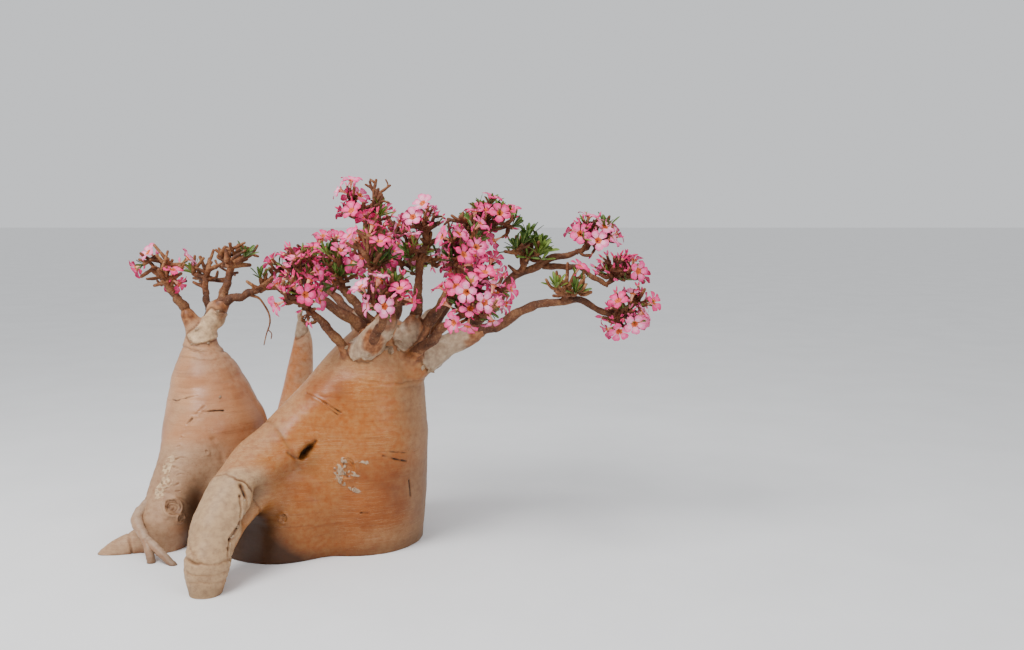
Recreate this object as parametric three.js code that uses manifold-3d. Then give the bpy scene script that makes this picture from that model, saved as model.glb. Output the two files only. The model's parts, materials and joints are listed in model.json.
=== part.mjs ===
// A desert rose in flower: three swollen stems from one root, short boughs, and masses of knobbly twigs
// that end in pink trumpet blossoms or tufts of narrow leaves.
// Millimetres, +Z up, +X to the right and +Y away from the viewer. The origin is on the flat cut under
// the main stem, at ground level.

import * as THREE from "three";
import { mergeVertices } from "three/addons/utils/BufferGeometryUtils.js";
import Module from "manifold-3d";

const wasm = await Module();
wasm.setup();

// Driving dimensions
const POINT_GRID = 0.01; // every corner of the faceted solids lies on this grid
const CLEARANCE = 0.4; // kept between a limb and the neighbour that is cut to fit it
const JOINT_GAP = 0.3; // between a bough's tip and the stem of the twigs that grow on from it
const STEM_CELL = 72; // grid size of a stem's skin
const SKIN_BLEND = 70; // how widely two swellings flow into each other
const REAR_SIDES = 9;
const FUSED_SIDES = 7;
const FUSED_STEPS = 3;
const CURVE_STEPS = 4; // straight pieces in one stretch of a curved limb
const BOUGH_SIDES = 6;
const BOUGH_STEPS = 4;
const ROOT_SIDES = 5;
const ROOT_STEPS = 3;
const STEM_SIDES = 5; // of the stem that carries a mass of twigs
const TWIG_SIDES = 3;
const INTERNODE = 60; // length of twig between two knuckles
const TWIG_TIP_RADIUS = 7;
const TWIG_THICKENING = 0.4; // power of the number of tips that a twig carries
const TWIG_MARGIN = 2; // free space round every twig, leaf and blossom
const TIP_REACH = [0.5, 0.85]; // how far out the twigs' tips lie, as shares of their mass's reach
const TUFT_REACH = 1.4; // how far out blossoms and leaves may lie
const TRIES = 14; // places tried for each tip
const BLOSSOM_ROOM = 38; // radius of the room that other pieces of the mass leave round a blossom
const LEAF_ROOM = 10;
const BLOSSOM_RADIUS = 46;
const BLOSSOM_NOTCH = 24;
const BLOSSOM_TUBE = 46; // from the foot to the notches between the petals
const BLOSSOM_DEPTH = 13; // how far the petals' tips lie beyond the notches
const PETALS = 5;
const LEAF_LENGTH = 92;
const LEAF_WIDTH = 15;
const LEAF_THICKNESS = 3;
const LEAVES = 5; // in a tuft
const ROOTED = 8; // how deep a leaf or blossom sits in its twig
const TUFT_DROP = 0.13; // how much lower the tufts are set where two faces would touch along an edge
// The masses that leave their bough's side, not its tip, and how far along it they do.
const SIDE_SHARE = { twigs_right_inner: 0.1, twigs_right_mid: 0.35 };
const GOLDEN_ANGLE = Math.PI * (3 - Math.sqrt(5));
const UP = new THREE.Vector3(0, 0, 1);

const BARK = { color: 0xb07a4c, roughness: 0.72, metalness: 0 };
const TWIG_BARK = { color: 0x7a4a2c, roughness: 0.85, metalness: 0 };
const BLOSSOM = { color: 0xf06a9c, roughness: 0.55, metalness: 0 };
const LEAF = { color: 0x55682f, roughness: 0.6, metalness: 0 };

// Each stem: the swellings that its skin is drawn over, as chains of [x, y, z, radius], and the limbs
// fused to it, as paths of [x, y, z] with a radius at each point.
const MAIN_STEM = {
  swellings: [
    [[55, 0, -60, 268], [65, 0, 225, 284], [85, 0, 465, 270], [115, 0, 640, 230], [165, 0, 790, 168]],
    [[-265, -130, -60, 236], [-180, -120, 190, 232], [-60, -70, 420, 180]],
    [[105, -20, 700, 165], [-30, -80, 590, 160], [-165, -140, 470, 150], [-290, -260, 365, 128]],
    [[-290, -260, 365, 122], [-362, -420, 302, 113], [-411, -555, 195, 93], [-420, -640, 90, 63]],
    [[-420, -640, 90, 63], [-418, -684, -60, 52]],
  ],
  limbs: [
    { path: [[70, -110, 765], [145, -185, 880], [215, -228, 965]], radii: [64, 50, 31] },
    { path: [[300, -50, 760], [440, -40, 840], [540, -20, 885]], radii: [76, 45, 29] },
    { path: [[230, -40, 810], [305, -58, 930]], radii: [66, 37] },
    { path: [[110, 70, 810], [40, 175, 930]], radii: [66, 35] },
    { path: [[270, 70, 800], [360, 170, 930]], radii: [66, 35] },
  ],
};
const LEFT_STEM = {
  swellings: [
    [[-585, 180, -60, 246], [-600, 190, 215, 254], [-618, 200, 420, 228], [-646, 200, 605, 154]],
    [[-646, 200, 605, 154], [-674, 200, 775, 80], [-674, 200, 840, 60]],
    [[-645, 110, 460, 146], [-685, 20, 325, 128], [-730, -70, 195, 108], [-750, -135, 90, 92]],
    [[-750, -135, 90, 92], [-752, -160, -50, 82]],
  ],
  limbs: [
    {
      path: [[-765, -150, 40], [-845, -190, 28], [-910, -212, 10], [-962, -226, -14]],
      radii: [66, 60, 54, 45],
    },
    { path: [[-672, 198, 800], [-688, 195, 865], [-720, 182, 945]], radii: [60, 42, 27] },
    { path: [[-672, 200, 800], [-652, 201, 872], [-592, 205, 970]], radii: [60, 45, 31] },
  ],
};
const REAR_STEM = {
  path: [[-358, 405, -40], [-332, 450, 320], [-300, 488, 600], [-279, 500, 790], [-284, 502, 868]],
  radii: [118, 96, 66, 44, 24],
};
const PROP_ROOT = {
  arch: { path: [[-800, -110, 195], [-835, -215, 145], [-772, -300, 84]], radii: [19, 18, 18] },
  feet: [
    { path: [[-776, -294, 90], [-748, -328, 40], [-730, -350, -20]], radii: [16, 15, 14] },
    { path: [[-776, -294, 88], [-700, -340, 42], [-615, -380, -20]], radii: [16, 15, 13] },
  ],
};

// Each bough: its name, the root, middle and tip of its curve, and its radius at the root and at the tip.
// A root that is a name means the tip of that bough.
const BOUGH_ROWS = [
  ["bough_left_low", [45, -150, 815], [-25, -222, 935], [-80, -250, 1000], 21, 13],
  ["bough_left", [150, -100, 880], [40, -148, 975], [-85, -140, 1060], 27, 15],
  ["bough_left_mid", [160, -30, 880], [80, -62, 1000], [20, -40, 1065], 25, 15],
  ["bough_top_left", [190, 0, 880], [140, -8, 1080], [112, -38, 1275], 27, 13],
  ["bough_centre_front", [205, -222, 948], [236, -258, 1040], [200, -270, 1110], 23, 14],
  ["bough_centre", [296, -56, 910], [318, -48, 1010], [325, -40, 1100], 26, 16],
  ["bough_centre_right", [320, -50, 850], [412, -66, 1010], [480, -90, 1105], 27, 15],
  ["bough_right_top", [345, 60, 870], [485, 62, 1070], [578, 40, 1250], 26, 12],
  ["bough_front_low", [125, -170, 840], [190, -285, 935], [215, -340, 1000], 22, 13],
  ["bough_front_right", [300, -110, 800], [405, -235, 905], [480, -290, 970], 24, 14],
  ["bough_right_low", [520, -24, 872], [665, -42, 935], [815, -60, 1015], 25, 17],
  ["bough_right_low_tip", "bough_right_low", [980, -78, 1035], [1120, -90, 980], 17, 11],
  ["bough_right_up", [420, 20, 800], [620, 62, 980], [725, 40, 1130], 25, 18],
  ["bough_right_up_tip", "bough_right_up", [872, 25, 1194], [1000, 8, 1236], 17, 11],
  ["bough_right_over", [895, 22, 1180], [1010, -25, 1160], [1095, -42, 1110], 13, 10],
  ["bough_rear_left", [50, 160, 905], [-35, 240, 980], [-110, 300, 1040], 25, 15],
  ["bough_rear", [195, 90, 860], [196, 215, 980], [180, 310, 1070], 28, 16],
  ["bough_rear_right", [350, 160, 905], [420, 240, 1000], [470, 310, 1055], 25, 15],
  ["bough_far_left", [-712, 184, 930], [-750, 175, 1005], [-785, 170, 1055], 24, 16],
  ["bough_far_top", [-592, 205, 955], [-565, 210, 1035], [-545, 215, 1105], 25, 15],
  ["bough_far_right", [-585, 206, 985], [-500, 190, 1025], [-425, 180, 1050], 22, 14],
  ["bough_far_rear", [-660, 222, 860], [-662, 290, 965], [-685, 340, 1035], 22, 14],
];

// Each mass of twigs: its name, the bough it grows from, the centre and reach of the space it fills, how
// many tips it has, the shares of them that flower or leaf, and its seed.
const MASSES = [
  ["twigs_left_low", "bough_left_low", [-142, -270, 1070], [100, 95, 95], 7, 0.9, 0.1, 11],
  ["twigs_left", "bough_left", [-150, -135, 1170], [120, 100, 95], 8, 0.8, 0.2, 12],
  ["twigs_left_mid", "bough_left_mid", [-15, -30, 1175], [95, 100, 125], 8, 0.5, 0.4, 13],
  ["twigs_top_left", "bough_top_left", [115, -60, 1420], [115, 95, 135], 8, 0.7, 0.2, 14],
  ["twigs_centre_left", "bough_centre_front", [150, -235, 1235], [120, 110, 150], 10, 0.7, 0.15, 15],
  ["twigs_centre", "bough_centre", [338, -30, 1268], [130, 125, 180], 11, 0.5, 0.25, 51],
  ["twigs_centre_right", "bough_centre_right", [505, -110, 1270], [115, 110, 180], 11, 0.75, 0.2, 17],
  ["twigs_right_top", "bough_right_top", [625, 28, 1355], [115, 95, 100], 7, 0.4, 0.6, 38],
  ["twigs_front_low", "bough_front_low", [225, -385, 1080], [130, 100, 100], 8, 0.8, 0.1, 19],
  ["twigs_front_right", "bough_front_right", [600, -330, 1045], [160, 110, 120], 10, 0.8, 0.2, 20],
  ["twigs_right_inner", "bough_right_up_tip", [790, -20, 1240], [105, 95, 95], 6, 0.35, 0.65, 21],
  ["twigs_right_end_top", "bough_right_up_tip", [1055, -5, 1300], [125, 95, 95], 7, 0.6, 0.4, 22],
  ["twigs_right_end", "bough_right_over", [1175, -50, 1150], [110, 95, 90], 7, 0.9, 0.1, 23],
  ["twigs_right_mid", "bough_right_low_tip", [955, -150, 1095], [130, 95, 95], 8, 0.25, 0.15, 32],
  ["twigs_right_end_low", "bough_right_low_tip", [1205, -100, 985], [105, 100, 125], 8, 0.9, 0.1, 24],
  ["twigs_rear_left", "bough_rear_left", [-165, 345, 1150], [150, 130, 150], 9, 0.6, 0.25, 45],
  ["twigs_rear", "bough_rear", [165, 360, 1240], [155, 130, 185], 11, 0.55, 0.3, 26],
  ["twigs_rear_right", "bough_rear_right", [515, 350, 1175], [155, 130, 165], 11, 0.6, 0.25, 27],
  ["twigs_far_left", "bough_far_left", [-825, 160, 1145], [125, 110, 120], 11, 0.25, 0, 28],
  ["twigs_far_top", "bough_far_top", [-520, 220, 1200], [115, 100, 110], 11, 0, 0.15, 29],
  ["twigs_far_right", "bough_far_right", [-352, 172, 1082], [100, 90, 85], 8, 0, 0.15, 30],
  ["twigs_far_rear", "bough_far_rear", [-695, 400, 1130], [120, 100, 115], 10, 0.15, 0.15, 31],
].map(([name, from, centre, reach, tips, flowers, leaves, seed]) => {
  const side = SIDE_SHARE[name];
  return { name, from, side, centre, reach, tips, flowers, leaves, seed };
});

const vector = (p) => new THREE.Vector3(p[0], p[1], p[2]);

// A repeatable stream of numbers from 0 to 1.
function numberStream(seed) {
  let state = seed;
  return () => {
    state = (state + 0x6d2b79f5) | 0;
    let mixed = Math.imul(state ^ (state >>> 15), 1 | state);
    mixed = (mixed + Math.imul(mixed ^ (mixed >>> 7), 61 | mixed)) ^ mixed;
    return ((mixed ^ (mixed >>> 14)) >>> 0) / 4294967296;
  };
}

function solidOf(geometry) {
  const bare = geometry.index ? geometry.toNonIndexed() : geometry.clone();
  bare.deleteAttribute("normal");
  bare.deleteAttribute("uv");
  const merged = mergeVertices(bare, 1e-3);
  const vertProperties = new Float32Array(merged.attributes.position.array);
  return new wasm.Manifold(
    new wasm.Mesh({ numProp: 3, vertProperties, triVerts: new Uint32Array(merged.index.array) }),
  );
}

function geometryOf(solid) {
  const mesh = solid.getMesh();
  const places = Array.from(mesh.vertProperties, (value) => Math.round(value / POINT_GRID) * POINT_GRID);
  const geometry = new THREE.BufferGeometry();
  geometry.setAttribute("position", new THREE.Float32BufferAttribute(places, 3));
  geometry.setIndex(Array.from(mesh.triVerts));
  return geometry;
}

const largestBody = (solid) =>
  solid.decompose().reduce((best, body) => (body.volume() > best.volume() ? body : best));

// The largest body that stays one body, with no sealed hollow or loose scrap, once the points that single
// precision can't hold apart are merged.
function settled(solid) {
  let body = largestBody(solid);
  let merged = solidOf(geometryOf(body));
  while (merged.decompose().length > 1) {
    body = largestBody(merged);
    merged = solidOf(geometryOf(body));
  }
  return body;
}

// The solid grown outwards all over, for cutting its neighbours clear of it.
function grown(solid, by) {
  const geometry = geometryOf(solid);
  geometry.computeVertexNormals();
  const { position, normal } = geometry.attributes;
  for (let i = 0; i < position.count; i++) {
    position.setXYZ(
      i,
      position.getX(i) + by * normal.getX(i),
      position.getY(i) + by * normal.getY(i),
      position.getZ(i) + by * normal.getZ(i),
    );
  }
  return solidOf(geometry);
}

const boxOf = ({ min, max }) => new THREE.Box3(vector(min), vector(max));
const near = (solid, other) => boxOf(solid.boundingBox()).intersectsBox(boxOf(other.boundingBox()));

// The flat cut at ground level.
function cutAtGround(solid) {
  const size = 4000;
  const earth = new THREE.BoxGeometry(size, size, size).translate(0, 0, -size / 2);
  return largestBody(solid.subtract(solidOf(earth)));
}

const mixed = (a, b, t) => a.map((value, i) => value + (b[i] - value) * t);

// A chain with extra rows on a smooth curve through its own rows.
function smoothChain(chain) {
  const curve = new THREE.CatmullRomCurve3(chain.map(vector), false, "centripetal");
  const stretches = chain.length - 1;
  const rows = [];
  for (let i = 0; i <= stretches * CURVE_STEPS; i++) {
    const share = i / CURVE_STEPS;
    const row = Math.min(Math.floor(share), stretches - 1);
    const at = curve.getPoint(i / (stretches * CURVE_STEPS));
    const radius = THREE.MathUtils.lerp(chain[row][3], chain[row + 1][3], share - row);
    rows.push([at.x, at.y, at.z, radius]);
  }
  return rows;
}

// How far p is from a limb that tapers from a to b, less its radius there.
function taperDistance(p, a, b) {
  const along = [b[0] - a[0], b[1] - a[1], b[2] - a[2]];
  const from = [p[0] - a[0], p[1] - a[1], p[2] - a[2]];
  const length2 = along[0] ** 2 + along[1] ** 2 + along[2] ** 2;
  const dot = along[0] * from[0] + along[1] * from[1] + along[2] * from[2];
  const t = Math.min(1, Math.max(0, dot / length2));
  const off = [from[0] - t * along[0], from[1] - t * along[1], from[2] - t * along[2]];
  return Math.hypot(off[0], off[1], off[2]) - (a[3] + t * (b[3] - a[3]));
}

// The distance to the skin that flows over all the swellings; negative inside.
function skinDistance(swellings) {
  const chains = swellings.map(smoothChain);
  return (p) => {
    let skin = Infinity;
    for (const rows of chains) {
      let own = Infinity;
      for (let i = 1; i < rows.length; i++) own = Math.min(own, taperDistance(p, rows[i - 1], rows[i]));
      const near = Math.max(SKIN_BLEND - Math.abs(own - skin), 0) / SKIN_BLEND;
      skin = Math.min(own, skin) - (near * near * SKIN_BLEND) / 4;
    }
    return skin;
  };
}

const CUBE_CORNERS = [0, 1, 2, 3, 4, 5, 6, 7].map((i) => [i & 1, (i >> 1) & 1, i >> 2]);
const CUBE_EDGES = CUBE_CORNERS.flatMap((corner, i) =>
  [1, 2, 4].filter((step) => !(i & step)).map((step) => [i, i | step]),
);
const CUBE_FACES = [0, 1, 2].flatMap((axis) =>
  [0, 1].map((side) => CUBE_EDGES.filter((edge) => edge.every((i) => CUBE_CORNERS[i][axis] === side))),
);

// The edges of one grid cell that the surface crosses, grouped into the patches that they bound.
function patchesOf(corner) {
  const crossed = ([a, b]) => corner[a] < 0 !== corner[b] < 0;
  const patch = new Map(CUBE_EDGES.filter(crossed).map((edge) => [edge, new Set([edge])]));
  const join = ([first, second]) => {
    const both = new Set([...patch.get(first), ...patch.get(second)]);
    for (const edge of both) patch.set(edge, both);
  };
  for (const face of CUBE_FACES) {
    const edges = face.filter(crossed);
    if (edges.length === 2) join(edges);
    if (edges.length < 4) continue;
    const inside = new Set(edges.flat().filter((i) => corner[i] < 0));
    for (const i of inside) join(edges.filter((edge) => edge.includes(i)));
  }
  return [...new Set(patch.values())];
}

// A closed mesh of the surface where distance(p) is zero: one vertex for each patch in a grid cell.
function skinGeometry(distance, low, high, cell) {
  const count = low.map((from, axis) => Math.ceil((high[axis] - from) / cell) + 1);
  const place = (i, j, k) => [low[0] + i * cell, low[1] + j * cell, low[2] + k * cell];
  const index = (i, j, k) => (k * count[1] + j) * count[0] + i;
  const values = new Float64Array(count[0] * count[1] * count[2]);
  for (let k = 0; k < count[2]; k++)
    for (let j = 0; j < count[1]; j++)
      for (let i = 0; i < count[0]; i++) values[index(i, j, k)] = distance(place(i, j, k));

  const vertexOf = new Map();
  const points = [];
  for (let k = 0; k + 1 < count[2]; k++)
    for (let j = 0; j + 1 < count[1]; j++)
      for (let i = 0; i + 1 < count[0]; i++) {
        const corner = CUBE_CORNERS.map(([a, b, c]) => values[index(i + a, j + b, k + c)]);
        for (const patch of patchesOf(corner)) {
          const middle = [0, 0, 0];
          for (const edge of patch) {
            const [a, b] = edge;
            const crossing = mixed(CUBE_CORNERS[a], CUBE_CORNERS[b], corner[a] / (corner[a] - corner[b]));
            crossing.forEach((value, axis) => (middle[axis] += value / patch.size));
            vertexOf.set(index(i, j, k) * CUBE_EDGES.length + CUBE_EDGES.indexOf(edge), points.length);
          }
          const at = place(i + middle[0], j + middle[1], k + middle[2]);
          points.push(ontoSkin(distance, at, cell / 2));
        }
      }

  // The four cells round a crossed grid edge give one four-sided face.
  const faces = [];
  const apart = (m, n) => Math.hypot(...points[m].map((value, axis) => value - points[n][axis]));
  const steps = [[1, 0, 0], [0, 1, 0], [0, 0, 1]];
  for (let k = 1; k + 1 < count[2]; k++)
    for (let j = 1; j + 1 < count[1]; j++)
      for (let i = 1; i + 1 < count[0]; i++)
        steps.forEach((step, axis) => {
          const here = values[index(i, j, k)] < 0;
          const there = values[index(i + step[0], j + step[1], k + step[2])] < 0;
          if (here === there) return;
          const [u, v] = [(axis + 1) % 3, (axis + 2) % 3];
          const around = [[0, 0], [1, 0], [1, 1], [0, 1]].map(([a, b]) => {
            const from = (a << u) | (b << v);
            const edge = CUBE_EDGES.findIndex(([p, q]) => p === from && q === (from | (1 << axis)));
            const back = steps[u].map((value, n) => a * value + b * steps[v][n]);
            return vertexOf.get(index(i - back[0], j - back[1], k - back[2]) * CUBE_EDGES.length + edge);
          });
          const [a, b, c, d] = here ? around : around.reverse();
          if (apart(a, c) < apart(b, d)) faces.push(a, b, c, a, c, d);
          else faces.push(a, b, d, b, c, d);
        });
  const geometry = new THREE.BufferGeometry();
  geometry.setAttribute("position", new THREE.Float32BufferAttribute(points.flat(), 3));
  geometry.setIndex(faces);
  return geometry;
}

// Moves a point straight to the skin, by at most the given distance in each of a few steps.
function ontoSkin(distance, point, most) {
  const nudge = 0.5;
  let at = point;
  for (let step = 0; step < 3; step++) {
    const here = distance(at);
    const slope = [0, 1, 2].map((axis) => {
      const ahead = at.map((value, i) => value + (i === axis ? nudge : 0));
      return (distance(ahead) - here) / nudge;
    });
    const steepness = Math.hypot(...slope) || 1;
    const move = Math.max(-most, Math.min(most, here / steepness));
    at = at.map((value, i) => value - (move * slope[i]) / steepness);
  }
  return at;
}

// A closed tube through the points, with its own radius at each. Each ring lies square to the way on.
function taperedTube(points, radii, sides, firstWay) {
  const ways = points.map((point, i) => {
    const before = points[Math.max(0, i - 1)];
    const after = points[Math.min(points.length - 1, i + 1)];
    return new THREE.Vector3().subVectors(after, before).normalize();
  });
  if (firstWay) ways[0] = firstWay.clone();
  const side = new THREE.Vector3(0.31, 0.95, 0.05).cross(ways[0]).normalize();
  const positions = [];
  points.forEach((point, i) => {
    side.addScaledVector(ways[i], -side.dot(ways[i])).normalize();
    const other = new THREE.Vector3().crossVectors(ways[i], side);
    for (let s = 0; s < sides; s++) {
      const angle = (2 * Math.PI * s) / sides;
      const rim = point.clone();
      rim.addScaledVector(side, radii[i] * Math.cos(angle));
      rim.addScaledVector(other, radii[i] * Math.sin(angle));
      positions.push(rim.x, rim.y, rim.z);
    }
  });
  const faces = [];
  for (let i = 0; i + 1 < points.length; i++)
    for (let s = 0; s < sides; s++) {
      const [a, b] = [i * sides + s, i * sides + ((s + 1) % sides)];
      faces.push(a, b, b + sides, a, b + sides, a + sides);
    }
  const last = (points.length - 1) * sides;
  for (let s = 1; s + 1 < sides; s++) {
    faces.push(0, s + 1, s);
    faces.push(last, last + s, last + s + 1);
  }
  const geometry = new THREE.BufferGeometry();
  geometry.setAttribute("position", new THREE.Float32BufferAttribute(positions, 3));
  geometry.setIndex(faces);
  return geometry;
}

// A limb on a smooth curve through its path, tapering evenly between its radii. Its root is cut square to
// the given way, if there is one.
function limbSolid({ path, radii, way }, sides, steps) {
  const curve = new THREE.CatmullRomCurve3(path.map(vector), false, "centripetal");
  const points = curve.getPoints(steps);
  const sizes = points.map((_, i) => {
    const share = (i / steps) * (radii.length - 1);
    const row = Math.min(Math.floor(share), radii.length - 2);
    return THREE.MathUtils.lerp(radii[row], radii[row + 1], share - row);
  });
  return solidOf(taperedTube(points, sizes, sides, way));
}

// A swollen stem with the limbs fused to it, on its flat cut.
function stemSolid({ swellings, limbs }) {
  const rows = swellings.flat();
  const low = [0, 1, 2].map((axis) => Math.min(...rows.map((row) => row[axis] - row[3])) - 2 * STEM_CELL);
  const high = [0, 1, 2].map((axis) => Math.max(...rows.map((row) => row[axis] + row[3])) + 2 * STEM_CELL);
  low[2] = -2 * STEM_CELL;
  const distance = skinDistance(swellings);
  const capped = (p) => Math.max(distance(p), -STEM_CELL - p[2]);
  const skin = solidOf(skinGeometry(capped, low, high, STEM_CELL));
  return cutAtGround(limbs.reduce((stem, limb) => stem.add(limbSolid(limb, FUSED_SIDES, FUSED_STEPS)), skin));
}

function boughTip({ path, radii }) {
  const curve = new THREE.CatmullRomCurve3(path.map(vector), false, "centripetal");
  const ends = curve.getPoints(BOUGH_STEPS).slice(-2);
  const way = new THREE.Vector3().subVectors(ends[1], ends[0]).normalize();
  return { at: ends[1], way, radius: radii[1] };
}

function pastTip(bough) {
  const { at, way } = boughTip(bough);
  return at.addScaledVector(way, JOINT_GAP);
}

// A bough that goes on from another starts just clear of the other's tip.
const BOUGHS = [];
for (const [name, root, middle, tip, thick, thin] of BOUGH_ROWS) {
  const before = BOUGHS.find((bough) => bough.name === root);
  const start = before ? pastTip(before).toArray() : root;
  const way = before && boughTip(before).way;
  BOUGHS.push({ name, path: [start, middle, tip], radii: [thick, thin], way });
}

// The point beyond b, as seen from a, by a distance.
const beyond = (a, b, by) => vector(b).addScaledVector(vector(b).sub(vector(a)).normalize(), by).toArray();

// Each limb's solid, and the solid with a little room round it that later limbs are cut by.
const solids = {};
const rooms = {};
const cutClear = (solid) =>
  Object.values(rooms).filter((room) => near(solid, room)).reduce((rest, room) => rest.subtract(room), solid);

function addStem(name, solid) {
  solids[name] = largestBody(cutClear(solid));
  rooms[name] = solids[name].add(grown(solids[name], CLEARANCE));
}

addStem("stem_main", stemSolid(MAIN_STEM));
addStem("stem_left", stemSolid(LEFT_STEM));
addStem("stem_rear", cutAtGround(limbSolid(REAR_STEM, REAR_SIDES, 6)));
const archAndFeet = PROP_ROOT.feet.reduce(
  (root, foot) => root.add(limbSolid(foot, ROOT_SIDES, ROOT_STEPS)),
  limbSolid(PROP_ROOT.arch, ROOT_SIDES, ROOT_STEPS),
);
addStem("prop_root", cutAtGround(archAndFeet));

for (const bough of BOUGHS) {
  const [root, middle, tip] = bough.path;
  const path = [beyond(middle, root, CLEARANCE), middle, beyond(middle, tip, JOINT_GAP / 2)];
  const roomy = { ...bough, path, radii: bough.radii.map((radius) => radius + 1.5 * CLEARANCE) };
  solids[bough.name] = bodyNearest(cutClear(limbSolid(bough, BOUGH_SIDES, BOUGH_STEPS)), boughTip(bough).at);
  rooms[bough.name] = limbSolid(roomy, BOUGH_SIDES, BOUGH_STEPS);
}

// The one of a solid's separate bodies whose box comes nearest to a point.
function bodyNearest(solid, point) {
  const far = (body) => boxOf(body.boundingBox()).distanceToPoint(point);
  return solid.decompose().reduce((best, body) => (far(body) < far(best) ? body : best));
}

// Where a stem grows from the side of a bough, at a share of its length.
function boughSide({ path, radii }, share, centre) {
  const at = new THREE.CatmullRomCurve3(path.map(vector), false, "centripetal").getPoint(share);
  const way = centre.clone().sub(at).normalize();
  return { at, way, radius: 0.8 * THREE.MathUtils.lerp(radii[0], radii[1], share) };
}

// The stem that carries a mass of twigs: it leaves the bough's tip square on, and ends inside the mass.
function stemOf(mass) {
  const bough = BOUGHS.find(({ name }) => name === mass.from);
  const centre = vector(mass.centre);
  const tip = mass.side ? boughSide(bough, mass.side, centre) : boughTip(bough);
  const start = tip.at.clone().addScaledVector(tip.way, JOINT_GAP);
  const reach = start.distanceTo(centre);
  const knee = start.clone().addScaledVector(tip.way, 0.2 * reach);
  const end = start.clone().lerp(centre, 0.55).addScaledVector(tip.way, 0.1 * reach);
  return { points: [start, knee, end], way: tip.way, radius: tip.radius };
}
const STEMS = Object.fromEntries(MASSES.map((mass) => [mass.name, stemOf(mass)]));

// Balls along every limb, that twigs keep clear of.
const OBSTACLES = [
  ...[...MAIN_STEM.limbs, ...LEFT_STEM.limbs].flatMap(({ path, radii }) =>
    path.map((point, i) => ({ at: vector(point), radius: radii[i], owner: "stem" })),
  ),
  ...BOUGHS.flatMap((bough) => {
    const curve = new THREE.CatmullRomCurve3(bough.path.map(vector), false, "centripetal");
    return curve.getPoints(16).map((at, i) => ({
      at,
      radius: THREE.MathUtils.lerp(bough.radii[0], bough.radii[1], i / 16),
      owner: bough.name,
    }));
  }),
  ...MASSES.flatMap(({ name }) => {
    const { points, radius } = STEMS[name];
    return [...points, points[1].clone().lerp(points[2], 0.5)].map((at) => ({ at, radius, owner: name }));
  }),
];
const mainSkin = skinDistance(MAIN_STEM.swellings);
const leftSkin = skinDistance(LEFT_STEM.swellings);

const withinReach = (mass, at) =>
  Math.hypot(...["x", "y", "z"].map((axis, i) => (at[axis] - mass.centre[i]) / mass.reach[i]));

// Whether a ball lies in the mass's own space and clear of every limb that isn't its own.
function isFree(mass, at, radius, most = 1) {
  const own = withinReach(mass, at);
  if (own > most) return false;
  const room = radius + TWIG_MARGIN;
  for (const other of MASSES) {
    if (other === mass) continue;
    const slope = 1 / Math.min(...mass.reach) + 1 / Math.min(...other.reach);
    if ((withinReach(other, at) - own) / slope < room) return false;
  }
  for (const ball of OBSTACLES)
    if (ball.owner !== mass.name && ball.at.distanceTo(at) < ball.radius + room) return false;
  const place = [at.x, at.y, at.z];
  return Math.min(mainSkin(place), leftSkin(place)) > room;
}

// A place for a twig's tip, and the way that the twig bows.
function aim(mass, n, draw) {
  const height = 1 - (1.7 * (n + 0.5)) / mass.tips + 0.3 * (draw() - 0.5);
  const angle = n * GOLDEN_ANGLE + mass.seed + draw() - 0.5;
  const share = THREE.MathUtils.lerp(TIP_REACH[0], TIP_REACH[1], draw());
  const flat = Math.sqrt(Math.max(0, 1 - height * height));
  const direction = [flat * Math.cos(angle), flat * Math.sin(angle), height];
  const tip = vector(mass.centre.map((value, i) => value + direction[i] * share * mass.reach[i]));
  const sway = new THREE.Vector3(draw() - 0.5, draw() - 0.5, 0.5 * draw());
  return { tip, sway };
}

// The joint that a twig to this tip grows from: near the tip, and near the stem.
function nearestJoint(joints, tip) {
  const costs = joints.map(({ at, parent, path }, i) => {
    if (i < 2) return Infinity;
    const way = tip.clone().sub(at);
    const back = way.dot(at.clone().sub(joints[parent].at)) < 0 ? INTERNODE / 2 : 0;
    return way.length() + 0.3 * path + back;
  });
  return costs.indexOf(Math.min(...costs));
}

// The points of a twig from a joint to its tip, or none where the mass has no room for it.
function twigLine(mass, from, { tip, sway }) {
  const length = tip.distanceTo(from);
  const steps = Math.max(1, Math.round(length / INTERNODE));
  const points = Array.from({ length: steps }, (_, i) => {
    const share = (i + 1) / steps;
    const bow = 0.35 * length * Math.sin(Math.PI * share);
    return from.clone().lerp(tip, share).addScaledVector(sway, bow);
  });
  return points.every((at) => isFree(mass, at, 1.5 * TWIG_TIP_RADIUS)) ? points : [];
}

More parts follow.
